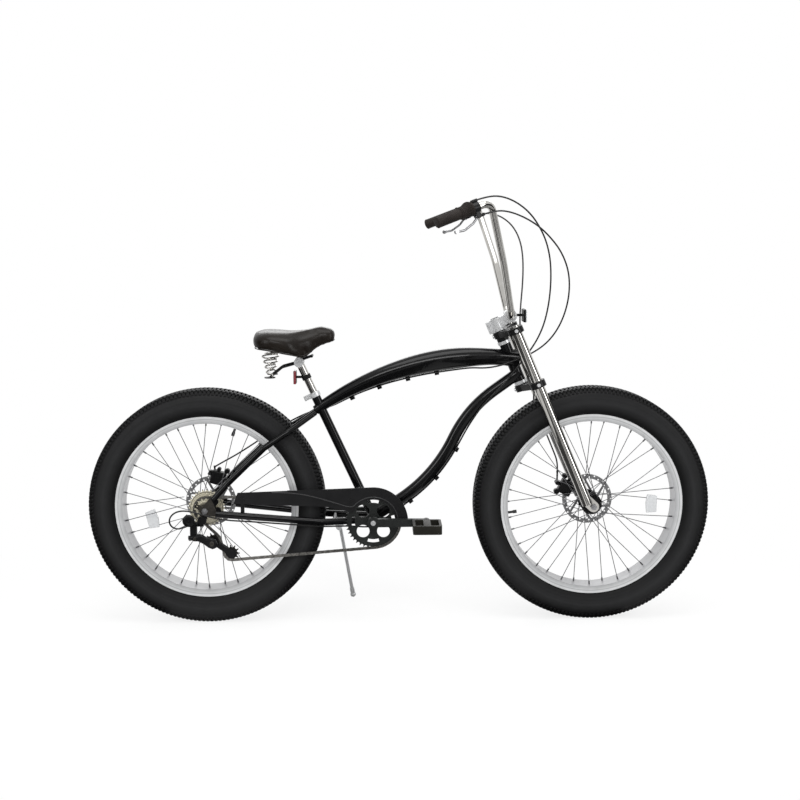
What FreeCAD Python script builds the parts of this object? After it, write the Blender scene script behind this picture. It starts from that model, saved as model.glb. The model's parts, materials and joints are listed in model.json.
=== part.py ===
import FreeCAD, Part
import math
import os

from FreeCAD import Vector

os.makedirs("parts", exist_ok=True)

# Axes: +X forward, +Y to the rider's left, +Z up, origin on the floor midway between the wheels.
X_AXIS = Vector(1, 0, 0)
Y_AXIS = Vector(0, 1, 0)
Z_AXIS = Vector(0, 0, 1)

# Shared clearances
running_fit = 0.05
skin_gap = 0.1
cut_overrun = 2.0

# Wheels and tyres, 26 x 4.0 inch on a 559 mm bead seat
wheelbase = 1210.0
tyre_radius = 372.0
tyre_width = 98.0
tread_flat = 50.0
tread_depth = 10.0
tyre_wall = 4.0
tread_block_depth = 5.0
tread_block_count = 64
tread_groove_width = 14.0
tread_ring_width = 4.0
tread_ring_place = 18.0
tread_shoulder_drop = 14.5
tread_shoulder_side = 38.0
tread_side_drop = 22.0
tread_side = 42.5
shoulder_drop = 10.0
shoulder_width = 82.0
bead_radius = 279.5
bead_width = 8.0
rim_radius = 287.0
rim_width = 80.0
rim_depth = 22.0
rim_wall = 3.0
rim_taper = 3.0
rim_shelf = 9.0
tube_centre_radius = 321.0
tube_radius = 35.0
tube_wall = 1.5
valve_radius = 4.0
valve_length = 40.0
valve_cap_radius = 5.2
valve_cap_length = 12.0
valve_hole_gap = 0.3
front_valve_angle = 187.0
rear_valve_angle = 70.0
spoke_count = 36
spoke_crosses = 3
spoke_radius = 1.15
spoke_head_radius = 2.2
spoke_head_length = 1.5
spoke_row = 14.0
spoke_lift = 2.0
nipple_radius = 2.4
nipple_length = 13.0

# Hubs and axles
flange_radius = 33.0
flange_thickness = 3.5
flange_hole_circle = 29.0
hub_barrel_radius = 19.0
hub_end_radius = 22.0
bearing_radius = 14.0
bearing_width = 9.0
hub_bore_radius = 9.0
axle_radius = 5.0
cone_radius = 9.0
cone_gap = 0.5
axle_nut_radius = 10.0
axle_nut_length = 9.0
axle_stub = 8.0
front_hub_width = 135.0
front_flange_left = 33.0
front_flange_right = -33.0
front_hub_end = 58.0
rear_hub_width = 170.0
rear_flange_left = 45.0
rear_flange_right = -32.0
rear_hub_end = 74.0
freewheel_seat_radius = 17.0
freewheel_seat_end = 76.0

# Disc rotors
rotor_radius = 80.0
rotor_band = 14.0
rotor_thickness = 1.8
rotor_carrier_radius = 31.0
rotor_arm_count = 6
rotor_arm_width = 7.0
rotor_arm_lean = 40.0
rotor_hole_count = 30
rotor_hole_radius = 2.6
rotor_bolt_circle = 22.0
rotor_bolt_radius = 3.6
rotor_bolt_head = 2.2
front_rotor_place = 54.0
rear_rotor_place = 66.0
rotor_bore_radius = 16.0

# Frame tubes
bottom_bracket_x = -84.0
bottom_bracket_height = 330.0
bracket_shell_radius = 22.0
bracket_shell_width = 100.0
tube_thickness = 2.0
seat_tube_radius = 14.3
seat_tube_angle = 65.25
seat_tube_length = 437.0
head_tube_radius = 18.0
head_tube_bore = 15.0
head_tube_length = 126.0
head_tube_start = 448.0
head_angle = 67.2
fork_offset = 56.0
top_tube_bend = 918.0
top_tube_crown_x = 264.0
top_tube_drop = 41.5
top_tube_front_turn = -7.0
top_tube_rear_turn = 35.0
top_tube_radius = 31.0
top_tube_end_radius = 15.0
top_tube_taper_start = 14.0
top_tube_sections = 6
down_tube_radius = 19.0
down_tube_first_run = 100.0
down_tube_low_angle = 33.0
down_tube_steep_angle = 64.5
down_tube_high_angle = 35.5
down_tube_low_bend = 478.0
down_tube_high_bend = 400.0
down_tube_last_run = 96.0
stay_radius = 9.5
stay_bend = 70.0
seat_stay_top = Vector(-264, 15, 667)
seat_stay_spread = Vector(-346, 63, 613)
seat_stay_middle = Vector(-419, 77, 566)
seat_stay_low = Vector(-530, 90, 460)
seat_stay_end = Vector(-578, 91, 408)
chain_stay_radius = 11.0
chain_stay_front = Vector(-92, 33, 328)
chain_stay_spread = Vector(-236, 65, 328)
chain_stay_end = Vector(-572, 91, 362)
chain_stay_bend = 200.0
stay_bridge_radius = 7.0
stay_bridge_x = -205.0
dropout_thickness = 6.0
dropout_reach_up = 52.0
dropout_reach_forward = 50.0
dropout_width = 30.0
dropout_corner = 9.0
hanger_back = 7.0
hanger_drop = 27.0
hanger_radius = 12.0
hanger_bolt_radius = 5.0
eyelet_radius = 2.5
eyelet_offset = 24.0
eyelet_rise = 14.0

# Headset and bottom bracket cups
cup_height = 10.0
cup_radius = 21.0
steerer_radius = 12.7
bracket_cup_radius = 19.0
bracket_cup_length = 14.0
bracket_flange = 3.0
spindle_radius = 8.0

# Seat clamp, post and rear reflector
clamp_height = 15.0
clamp_wall = 3.2
clamp_ear_reach = 18.0
clamp_ear_thickness = 6.0
clamp_gap = 3.0
clamp_bolt_radius = 2.5
clamp_bolt_head = 4.5
clamp_bolt_overhang = 4.0
post_radius = 12.2
post_fit = 0.05
post_insertion = 120.0
post_stand = 108.0
post_head_radius = 11.0
post_head_half = 18.0
post_head_gap = 0.3
reflector_height = 42.0
reflector_width = 44.0
reflector_depth = 9.0
reflector_band_height = 14.0
reflector_band_wall = 2.5
reflector_place = 56.0
reflector_arm = 16.0
reflector_arm_radius = 4.0

# Fork
clamp_leg_spacing = 80.0
leg_offset = 41.0
leg_radius = 17.0
leg_wall = 3.0
leg_bottom = 16.0
lower_clamp_start = 416.0
lower_clamp_thickness = 20.0
upper_clamp_start = 597.0
upper_clamp_thickness = 19.0
fork_clamp_wall = 8.0
leg_cap = 5.0
spacer_radius = 19.0
spacer_gap = 0.4
steerer_clamp_radius = 24.0
fork_bolt_radius = 4.0
fork_lug_thickness = 9.0
fork_lug_radius = 17.0
steerer_top = 660.0

# Stem and handlebar
stem_gap = 2.0
stem_height = 38.0
stem_radius = 18.5
stem_reach = 48.0
stem_bar_lift = 30.0
stem_bar_clamp_radius = 20.0
stem_width = 44.0
stem_arm_width = 34.0
stem_arm_height = 30.0
stem_ear_reach = 32.0
stem_ear_width = 22.0
stem_bolt_head = 4.6
stem_bolt_overhang = 3.0
stem_bolt_spacing = 20.0
bar_radius = 11.1
bar_wall = 2.0
bar_corner_y = 56.0
bar_middle = Vector(311, 140, 1138)
bar_top = Vector(262, 258, 1312)
bar_end = Vector(106, 345, 1253)
bar_low_bend = 38.0
bar_middle_bend = 260.0
bar_top_bend = 38.0
grip_radius = 15.0
grip_flange_radius = 18.0
grip_end_radius = 15.5
grip_flange = 4.0
right_grip_length = 80.0
left_grip_length = 118.0
grip_cap = 5.0
shifter_length = 40.0
shifter_radius = 18.0
shifter_gap = 0.6
perch_length = 20.0
perch_radius = 16.5
perch_arm_reach = 26.0
perch_arm_width = 14.0
lever_pin_radius = 2.5
lever_hub_radius = 6.0
lever_hub_height = 8.0
perch_slot_gap = 0.5
lever_blade_radius = 4.5
lever_tip_radius = 6.0
lever_points_shares = ((0.0, 0.0), (0.27, 0.16), (0.68, 0.27), (1.0, 0.22))
lever_length = 84.0
lever_bend = 22.0

# Front reflector
lamp_height = 40.0
lamp_width = 56.0
lamp_depth = 11.0
lamp_reach = 40.0
lamp_arm_width = 8.0
lamp_band_wall = 2.5
lamp_band_width = 7.0

# Brake calipers
caliper_depth = 44.0
caliper_height = 46.0
caliper_inner = 12.0
caliper_outer = 20.0
caliper_slot_gap = 1.2
caliper_corner = 8.0
caliper_bridge_share = 0.42
front_caliper_radius = 78.0
front_caliper_angle = 152.0
rear_caliper_radius = 78.0
rear_caliper_angle = 72.0
caliper_pivot_radius = 7.0
caliper_pivot_length = 8.0
caliper_arm_length = 32.0
caliper_arm_width = 11.0
caliper_arm_thickness = 5.0
caliper_arm_gap = 0.4
caliper_tab_radius = 7.0

# Drive
chain_pitch = 12.7
chain_line = -64.0
chainring_teeth = 42
chainring_hole_turn = 45.0
chainring_window_half = 16.0
drive_cog_teeth = 18
pulley_teeth = 11
roller_radius = 3.85
roller_seat_gap = 0.4
tooth_height = 3.2
tooth_flank_lean = 24.0
tooth_thickness = 2.1
inner_link_gap = 2.5
link_plate_thickness = 0.9
link_plate_radius = 4.2
link_gap = 0.12
link_pin_radius = 1.8
chainring_hole_radius = 20.0
chainring_hole_circle = 45.0
chainring_hole_count = 4
chainring_rim = 13.0
chainring_window_inner = 58.0
crank_length = 165.0
crank_inner = 84.0
crank_thickness = 14.0
crank_width = 26.0
crank_boss_radius = 18.0
crank_end_radius = 14.0
crank_bolt_radius = 7.0
crank_bolt_length = 3.0
pedal_axle_radius = 5.0
pedal_gap = 8.0
pedal_width = 98.0
pedal_length = 88.0
pedal_thickness = 27.0
pedal_wall = 8.0
pedal_boss_radius = 11.0
pedal_corner = 9.0
cog_teeth = (28, 24, 22, 20, 18, 16, 14)
cog_spacing = 5.0
freewheel_body_radius = 23.0
guide_pulley_x = -584.0
guide_pulley_height = 271.0
pulley_spacing = 68.0
cage_angle_low = -80.0
cage_angle_high = -5.0
pulley_pin_radius = 2.5
pulley_hub_radius = 6.0
cage_plate_thickness = 2.0
cage_plate_radius = 16.0
cage_plate_gap = 3.0

# Rear derailleur
mount_radius = 13.0
mount_length = 20.0
link_pivot_radius = 2.5
link_length_out = 4.0
link_length_down = 44.0
link_offset_in = 15.0
link_offset_down = 8.0
link_width = 20.0
link_thickness = 5.0
link_side_gap = 0.5
mount_pivot_side = -104.0
mount_pivot_height = 336.0
mount_pivot_x = -640.0
mount_cheek = 5.0
carrier_length = 12.0
carrier_radius = 11.0

# Chain guard
guard_thickness = 3.0
guard_place = -73.0
guard_outer_radius = 109.0
guard_inner_radius = 70.0
guard_tip_angle = 4.0
guard_rear_low = Vector(-518, 0, 390)
guard_rear_high = Vector(-505, 0, 425)
guard_low_middle = Vector(-232, 0, 379)
guard_low_front = Vector(-150, 0, 362)
guard_screw_radius = 4.5
guard_screw_height = 2.5
guard_rear_screw = Vector(-490, 0, 406)
guard_tab_width = 12.0
guard_stay_radius = 4.0
guard_stay_height = 428.0

# Kickstand
stand_pivot = Vector(-191, 40, 292)
stand_foot = Vector(-152, 112, 46)
stand_leg_radius = 5.5
stand_foot_radius = 9.0
stand_foot_length = 26.0
stand_pin_radius = 4.0
stand_hub_radius = 9.0
stand_hub_length = 14.0
stand_cheek = 6.0
stand_cheek_gap = 0.5
stand_fold = Vector(-246, 78, 8)

# Saddle
saddle_stations = (-452.0, -428.0, -385.0, -330.0, -285.0, -245.0, -215.0, -200.0)
saddle_half_widths = (38.0, 88.0, 106.0, 96.0, 66.0, 44.0, 34.0, 20.0)
saddle_tops = (897.0, 921.0, 922.0, 919.0, 923.0, 930.0, 929.0, 912.0)
saddle_bottoms = (884.0, 873.0, 866.0, 856.0, 848.0, 862.0, 882.0, 893.0)
saddle_crown_share = 0.45
saddle_side_share = 0.06
rail_radius = 3.5
rail_spread = 22.0
rail_rear_spread = 52.0
rail_rear_x = -400.0
rail_front_x = -272.0
rail_bend = 14.0
spring_wire_radius = 2.5
spring_turns = 4
spring_first_turn = 45.0
spring_step_turn = 90.0
spring_samples = 320
spring_top_radius = 25.0
spring_bottom_radius = 9.0
spring_plate_radius = 17.0
spring_plate_thickness = 3.0
spring_foot_height = 786.0
post_clamp_radius = 15.0
post_clamp_inner = 13.2
post_clamp_outer = 27.0
nose_pin_radius = 4.0
nose_pin_half = 22.0
nose_lug_radius = 8.0
nose_lug_inner = 17.0
nose_lug_width = 4.0
nose_pin_drop = 18.0

# Cables: housing radii and routes, points chosen by hand
housing_radius = 2.5
cable_radius_share = 0.45
guide_radius = 7.0
guide_hole_gap = 0.4
guide_half_length = 7.0
rear_brake_route = (
    (243, -272.5, 1277), (280, -252, 1288), (322, -230, 1284), (366, -206, 1268), (410, -180, 1244),
    (450, -152, 1210), (488, -124, 1166), (514, -98, 1110), (522, -74, 1050), (515, -58, 990),
    (494, -48, 932), (459, -44, 884), (410, -42, 850), (358, -40, 829), (312, -34, 812),
    (268, -22, 804), (226, -12, 801), (182, -4, 797), (141, 0, 792), (95, 2, 784),
    (50, 3, 775), (5, 4, 764), (-40, 5, 752), (-84, 7, 736), (-127, 12, 719),
    (-168, 18, 700), (-207, 25, 683), (-246, 33, 671), (-290, 48, 659), (-352, 79, 625),
    (-425, 90, 581), (-480, 93, 544), (-530, 94, 513), (-568, 93, 493), (-594, 91, 478),
)
rear_brake_guides = (18, 20, 22, 24)
shift_route = (
    (220.6, -278.3, 1317.2), (258, -258, 1329), (300, -236, 1328), (342, -212, 1312), (382, -186, 1284),
    (414, -160, 1246), (440, -134, 1200), (456, -110, 1148), (462, -90, 1094), (462, -74, 1040),
    (456, -66, 988), (444, -62, 938), (424, -58, 892), (395, -53, 848), (364, -46, 806),
    (337, -37, 768), (302, -29, 731), (268, -23.5, 694), (240, -18, 652), (214.5, -10, 611),
    (193, -3, 569), (167, 0, 521), (135, 0, 475), (98.5, 0, 433), (57, 0, 396),
    (13, -1, 364), (-28, -8, 336), (-62, -17, 308), (-102, -28, 302), (-150, -44, 310),
    (-198, -57, 313), (-245, -66, 314), (-300, -70, 319), (-360, -74.6, 325), (-420, -79.3, 331),
    (-480, -86, 337), (-530, -98, 342), (-575, -113, 349), (-620, -120, 358), (-660, -120, 366),
    (-684, -119, 367), (-703, -116, 359), (-711, -113, 345), (-704, -110, 331), (-688, -107, 325),
    (-657, -104, 328),
)
shift_guides = (20, 22, 24)
front_brake_route = (
    (243, 272.5, 1277), (280, 252, 1287), (318, 228, 1284), (352, 200, 1266), (378, 170, 1236),
    (394, 142, 1194), (399, 118, 1148), (398, 98, 1100), (394, 82, 1050), (388, 68, 1000),
    (384, 58, 950), (386, 50, 900), (396, 42, 850), (417, 36, 804), (436, 34, 763),
    (431, 44, 727), (429, 57, 694), (438, 72, 660), (459, 80, 617), (479, 80, 571),
    (498, 80, 525), (513, 80, 486), (512, 80, 455),
)


# Shares of a named size
tyre_round_share = 0.32
rotor_row_shares = (0.3, 0.7)
eyelet_lug_share = 2.6
clamp_seat_share = 0.8
clamp_bolt_share = 0.55
lens_round_share = 0.3
clamp_arm_share = 1.5
bolt_head_share = 1.4
bolt_inset_share = 1.5
lever_lean_share = 0.25
barrel_end_share = 1.6
barrel_start_share = 0.4
barrel_radius_share = 0.8
blade_share = 0.8
pedal_axle_share = 0.9
pedal_collar_share = 1.6
upright_share = 0.9
pedal_wall_share = 2.4
mount_arm_share = 1.6
guard_tab_share = 0.8
guard_screw_share = 0.62
caliper_slot_share = 1.6
caliper_post_share = 0.6
stand_foot_share = 0.8
stand_head_share = 2.6
stand_roof_share = 2.2
saddle_bulge_share = 0.4
crown_side_share = 0.72
crown_drop_share = 0.1
side_arc_share = 0.98
brow_side_share = 0.93
brow_rise_share = 0.62
rail_rear_share = 2.6
rail_wide_share = 1.25
rail_narrow_share = 0.7
spring_seat_share = 0.2
spring_bend_share = 0.49


def offset(vector, distance):
    """A copy of a direction at a given length."""
    return Vector(vector).normalize() * distance


def rounded_edges(points, radii, closed=False):
    """Straight runs joined by tangent arcs. A zero radius keeps a sharp corner."""
    count = len(points)
    corners = []
    for index, corner in enumerate(points):
        if radii[index] == 0:
            corners.append((corner, corner, None))
            continue
        before = (points[index - 1] - corner).normalize()
        after = (points[(index + 1) % count] - corner).normalize()
        half = before.getAngle(after) / 2
        reach = radii[index] / math.tan(half)
        depth = radii[index] / math.sin(half) - radii[index]
        middle = corner + offset(before + after, depth)
        corners.append((corner + before * reach, corner + after * reach, middle))
    edges = []
    last = count if closed else count - 1
    for index in range(count):
        arrive, leave, middle = corners[index]
        if middle is not None:
            edges.append(Part.Arc(arrive, middle, leave).toShape())
        if index < last:
            following = corners[(index + 1) % count][0]
            if leave.distanceToPoint(following) > skin_gap / count:
                edges.append(Part.LineSegment(leave, following).toShape())
    return edges


def pipe(points, bends, radius):
    """A round bar along straight runs and tangent arcs; bends has one radius per inner point."""
    path = Part.Wire(rounded_edges(points, [0] + list(bends) + [0]))
    section = Part.Wire(Part.Circle(points[0], points[1] - points[0], radius).toShape())
    return path.makePipeShell([section], True, False)


def rod(start, end, radius):
    """A cylinder between two points."""
    return Part.makeCylinder(radius, start.distanceToPoint(end), start, end - start)


def bored(start, end, outer, inner):
    """A tube between two points, open at both ends."""
    over = offset(end - start, cut_overrun)
    return rod(start, end, outer).cut(rod(start - over, end + over, inner))


def slab(wire, thickness):
    """A plate made by pushing a closed outline along +Y."""
    return Part.Face(wire).extrude(Y_AXIS * thickness)


def polygon(points, radii):
    """A closed outline with rounded corners."""
    return Part.Wire(rounded_edges(points, radii, closed=True))


def block(centre, along, across, sizes):
    """A box centred on a point, its sides along two directions and their normal."""
    first = Vector(along).normalize()
    second = (Vector(across) - first * first.dot(across)).normalize()
    third = first.cross(second)
    frame = FreeCAD.Matrix(
        first.x, second.x, third.x, centre.x,
        first.y, second.y, third.y, centre.y,
        first.z, second.z, third.z, centre.z,
        0, 0, 0, 1,
    )
    box = Part.makeBox(*sizes, Vector(*sizes) * -0.5)
    return box.transformGeometry(frame)


def mirrored(shape):
    """The same piece on the other side of the mid-plane."""
    return shape.mirror(Vector(0, 0, 0), Y_AXIS)


def mirrored_point(vector):
    """A point on the other side of the mid-plane."""
    return Vector(vector.x, -vector.y, vector.z)


def spun(points_or_edges):
    """A ring about the wheel axis from an outline in radius and side place."""
    return Part.Face(Part.Wire(points_or_edges)).revolve(Vector(0, 0, 0), Y_AXIS, 360)


def closed_lines(pairs):
    """The edges of an outline given as radius and side place."""
    corners = [Vector(radius, side, 0) for radius, side in pairs]
    return Part.makePolygon(corners + corners[:1]).Edges


def turned(shape, degrees, centre=Vector(0, 0, 0)):
    """A copy turned about a side-to-side axis; positive lifts the front end."""
    copy = shape.copy()
    copy.rotate(centre, Y_AXIS, -degrees)
    return copy


def moved(shape, vector):
    """A copy moved by a vector."""
    copy = shape.copy()
    copy.translate(vector)
    return copy


def cheese(outer, inner, start, length):
    """A flat ring about the wheel axis, from one side place along +Y."""
    return bored(Y_AXIS * start, Y_AXIS * (start + length), outer, inner)


def save(name, *shapes):
    """One file per named piece or group of like pieces."""
    solids = [solid for shape in shapes for solid in shape.Solids]
    Part.makeCompound(solids).exportStep(f"parts/{name}.step")
    print(name, len(solids), round(sum(solid.Volume for solid in solids)))


# Main points and directions
rear_axle_point = Vector(-wheelbase / 2, 0, tyre_radius)
front_axle_point = Vector(wheelbase / 2, 0, tyre_radius)
bracket_point = Vector(bottom_bracket_x, 0, bottom_bracket_height)
steer_up = Vector(-math.cos(math.radians(head_angle)), 0, math.sin(math.radians(head_angle)))
steer_front = Vector(steer_up.z, 0, -steer_up.x)
steer_foot = front_axle_point - steer_front * fork_offset
seat_up = Vector(-math.cos(math.radians(seat_tube_angle)), 0, math.sin(math.radians(seat_tube_angle)))
seat_top = bracket_point + seat_up * seat_tube_length


def steer_point(rise, forward=0.0, side=0.0):
    """A place given along the steering axis, ahead of it and to the left of it."""
    return steer_foot + steer_up * rise + steer_front * forward + Y_AXIS * side


# Wheels, made about the origin and moved to their axles
def tread_rings():
    """Grooves that run round the tread and part its rows of blocks."""
    floor = tyre_radius - tread_block_depth
    rings = []
    for place in (-tread_ring_place, 0, tread_ring_place):
        rings.append(cheese(tyre_radius + cut_overrun, floor, place - tread_ring_width / 2, tread_ring_width))
    return rings


def tread_grooves():
    """Grooves across each half of the tread and down its shoulder, the halves half a step apart."""
    floor = tyre_radius - tread_block_depth
    low = tyre_radius - tread_side_drop
    high = tyre_radius + cut_overrun
    grooves = []
    for side, phase in ((1, 0.5), (-1, 0)):
        corners = [
            Vector(floor, 0, 0), Vector(floor, tread_flat / 2 * side, 0),
            Vector(tyre_radius - tread_shoulder_drop, tread_shoulder_side * side, 0),
            Vector(low, tread_side * side, 0),
            Vector(low, tyre_width * side, 0), Vector(high, tyre_width * side, 0), Vector(high, 0, 0),
        ]
        groove = Part.Face(Part.makePolygon(corners + corners[:1])).extrude(Z_AXIS * tread_groove_width)
        groove = moved(groove, Z_AXIS * (-tread_groove_width / 2))
        for index in range(tread_block_count):
            grooves.append(turned(groove, (index + phase) * 360.0 / tread_block_count))
    return grooves


def tyre():
    """A casing with a flat tread, round shoulders and beads behind the rim flanges."""
    bead_side = rim_width / 2 - rim_wall - skin_gap
    seat = bead_radius + skin_gap
    lip = rim_radius + tyre_wall / 2
    widest = (tyre_radius + rim_radius) / 2 + tyre_wall
    crown = tyre_radius - tread_depth

    def outer(side):
        start = Vector(lip, bead_side * side, 0)
        bulge = Vector(widest, tyre_width / 2 * side, 0)
        shoulder = Vector(tyre_radius - shoulder_drop, shoulder_width / 2 * side, 0)
        edge = Vector(tyre_radius, tread_flat / 2 * side, 0)
        corner = (shoulder + edge) * 0.5 + Vector(shoulder_drop * tyre_round_share, 0, 0)
        return start, bulge, shoulder, corner, edge

    def inner(side):
        toe = Vector(seat, (bead_side - bead_width) * side, 0)
        heel = Vector(lip, (bead_side - tyre_wall) * side, 0)
        bulge = Vector(widest - tyre_wall, (tyre_width / 2 - tyre_wall) * side, 0)
        edge = Vector(crown, tread_flat / 2 * side, 0)
        return toe, heel, bulge, edge

    edges = []
    for side in (1, -1):
        start, bulge, shoulder, corner, edge = outer(side)
        toe, heel, inner_bulge, inner_edge = inner(side)
        edges.append(Part.LineSegment(toe, Vector(seat, bead_side * side, 0)).toShape())
        edges.append(Part.LineSegment(Vector(seat, bead_side * side, 0), start).toShape())
        edges.append(Part.Arc(start, bulge, shoulder).toShape())
        edges.append(Part.Arc(shoulder, corner, edge).toShape())
        edges.append(Part.LineSegment(toe, heel).toShape())
        edges.append(Part.Arc(heel, inner_bulge, inner_edge).toShape())
    edges.append(Part.LineSegment(outer(1)[4], outer(-1)[4]).toShape())
    edges.append(Part.LineSegment(inner(1)[3], inner(-1)[3]).toShape())
    return spun(Part.__sortEdges__(edges)).cut(tread_rings()).cut(tread_grooves())


def rim(valve_angle):
    """A single-wall channel with bead shelves and a hole for the valve."""
    half = rim_width / 2
    foot = half - rim_taper
    floor = rim_radius - rim_depth
    under = bead_radius - rim_wall
    side = [
        (rim_radius, half), (floor, foot), (floor, -foot), (rim_radius, -half),
        (rim_radius, rim_wall - half), (bead_radius, rim_wall - half),
        (bead_radius, rim_wall + rim_shelf - half), (under, rim_wall + rim_shelf - half),
        (under, rim_wall - half), (floor + rim_wall, rim_wall - foot), (floor + rim_wall, foot - rim_wall),
        (under, half - rim_wall), (under, half - rim_wall - rim_shelf),
        (bead_radius, half - rim_wall - rim_shelf), (bead_radius, half - rim_wall), (rim_radius, half
                                                                                     - rim_wall),
    ]
    hole = rod(X_AXIS * (floor - cut_overrun), X_AXIS * rim_radius, valve_radius + valve_hole_gap)
    return spun(closed_lines(side)).cut(turned(hole, valve_angle))


def inner_tube(valve_angle):
    """A hollow ring with its valve stem and cap."""
    ring = Part.makeTorus(tube_centre_radius, tube_radius, Vector(0, 0, 0), Y_AXIS)
    hollow = Part.makeTorus(tube_centre_radius, tube_radius - tube_wall, Vector(0, 0, 0), Y_AXIS)
    foot = tube_centre_radius - tube_radius + tube_wall / 2
    stem = rod(X_AXIS * foot, X_AXIS * (foot - valve_length), valve_radius)
    cap = rod(X_AXIS * (foot - valve_length), X_AXIS * (foot - valve_length - valve_cap_length),
              valve_cap_radius)
    return turned(ring.cut(hollow).fuse([stem, cap]), valve_angle)


def spokes(flange_left, flange_right):
    """Crossed spokes from both faces of each flange to two rows in the rim, each with its nipple."""
    floor = rim_radius - rim_depth
    step = 360.0 / spoke_count
    reach = spoke_crosses * 2 * step
    limit = Part.makeCylinder(floor, rim_width, Y_AXIS * (-rim_width / 2), Y_AXIS)
    made = []
    for index in range(spoke_count):
        left = index % 2 == 0
        outward = (index // 2) % 2 == 0
        flange = flange_left if left else flange_right
        outside = 1 if left else -1
        face = flange_thickness / 2 + spoke_head_radius + (spoke_lift if outward else skin_gap)
        face = face if outward else -face
        hub_angle = math.radians(index * step)
        rim_angle = hub_angle + math.radians(reach if outward else -reach)
        row = spoke_row * outside
        start = Vector(
            flange_hole_circle * math.cos(hub_angle),
            flange + face * outside,
            flange_hole_circle * math.sin(hub_angle),
        )
        end = Vector(floor * math.cos(rim_angle), row, floor * math.sin(rim_angle))
        end = end + offset(end - start, nipple_radius)
        head = start - offset(end - start, spoke_head_length)
        shapes = [rod(start, end, spoke_radius), rod(end - offset(end - start, nipple_length), end,
                                                     nipple_radius)]
        shapes.append(rod(head, start, spoke_head_radius / 2 + spoke_radius / 2))
        made.append(shapes[0].fuse(shapes[1:]).common(limit))
    return made


def hub(flange_left, flange_right, end_left, end_right, right_radius, rotor_place):
    """A flanged barrel with a rotor seat on the left and a bearing in each end."""
    half = flange_thickness / 2
    shapes = [
        cheese(flange_radius, hub_bore_radius, flange_left - half, flange_thickness),
        cheese(flange_radius, hub_bore_radius, flange_right - half, flange_thickness),
        cheese(hub_end_radius, hub_bore_radius, flange_left, rotor_place - flange_left),
        cheese(rotor_bore_radius, hub_bore_radius, rotor_place, end_left - rotor_place),
        cheese(right_radius, hub_bore_radius, end_right, flange_right - end_right),
    ]
    barrel = cheese(hub_barrel_radius, hub_bore_radius, flange_right, flange_left - flange_right)
    shell = barrel.fuse(shapes).removeSplitter()
    bearings = []
    for start, length in ((end_left - bearing_width, bearing_width), (end_right, bearing_width)):
        seat = cheese(bearing_radius, axle_radius + running_fit, start, length)
        shell = shell.cut(cheese(bearing_radius, axle_radius, start, length))
        bearings.append(seat)
    return [shell] + bearings


def rotor(place):
    """A holed brake band on leaning arms, with a carrier and its bolt heads."""
    band = cheese(rotor_radius, rotor_radius - rotor_band, place, rotor_thickness)
    carrier = cheese(rotor_carrier_radius, rotor_bore_radius + skin_gap, place, rotor_thickness)
    start = rotor_carrier_radius - rotor_arm_width / 2
    end = rotor_radius - rotor_band / 2
    arms = []
    for index in range(rotor_arm_count):
        turn = math.radians(index * 360.0 / rotor_arm_count)
        lean = turn + math.radians(rotor_arm_lean)
        inner = Vector(start * math.cos(turn), place + rotor_thickness / 2, start * math.sin(turn))
        outer = Vector(end * math.cos(lean), place + rotor_thickness / 2, end * math.sin(lean))
        length = inner.distanceToPoint(outer)
        arms.append(block((inner + outer) * 0.5, outer - inner, Y_AXIS,
                          (length, rotor_thickness, rotor_arm_width)))
    disc = band.fuse([carrier] + arms).removeSplitter()
    rows = [rotor_radius - rotor_band * part for part in rotor_row_shares]
    holes = []
    for index in range(rotor_hole_count):
        turn = index * 360.0 / rotor_hole_count
        hole = rod(
            Vector(rows[index % 2], place - cut_overrun, 0),
            Vector(rows[index % 2], place + rotor_thickness + cut_overrun, 0),
            rotor_hole_radius,
        )
        holes.append(turned(hole, turn))
    heads = []
    for index in range(rotor_arm_count):
        base = Vector(rotor_bolt_circle + rotor_bolt_radius, place + rotor_thickness, 0)
        heads.append(turned(rod(base, base + Y_AXIS * rotor_bolt_head, rotor_bolt_radius),
                            index * 360.0 / rotor_arm_count))
    return [disc.cut(holes)] + heads


def axle(width, hub_left, hub_right, plate_outer):
    """A threaded axle with its cones, locked between the dropouts by two nuts."""
    half = width / 2
    end = plate_outer + axle_nut_length + axle_stub
    bar = rod(Y_AXIS * -end, Y_AXIS * end, axle_radius)
    left = rod(Y_AXIS * (hub_left + cone_gap), Y_AXIS * half, cone_radius)
    right = rod(Y_AXIS * (hub_right - cone_gap), Y_AXIS * -half, cone_radius)
    nuts = []
    for side in (1, -1):
        corners = []
        for index in range(6):
            turn = math.radians(60.0 * index)
            corners.append(Vector(axle_nut_radius * math.cos(turn), 0, axle_nut_radius * math.sin(turn)))
        outline = Part.makePolygon(corners + corners[:1])
        nut = Part.Face(outline).extrude(Y_AXIS * axle_nut_length * side)
        nut = moved(nut, Y_AXIS * plate_outer * side)
        nuts.append(nut.cut(rod(Y_AXIS * -end, Y_AXIS * end, axle_radius)))
    return [bar.fuse([left, right]).removeSplitter()] + nuts


def place_at(point, shapes):
    """Copies of shapes moved from the origin to an axle."""
    return [moved(shape, point) for shape in shapes]


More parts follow.
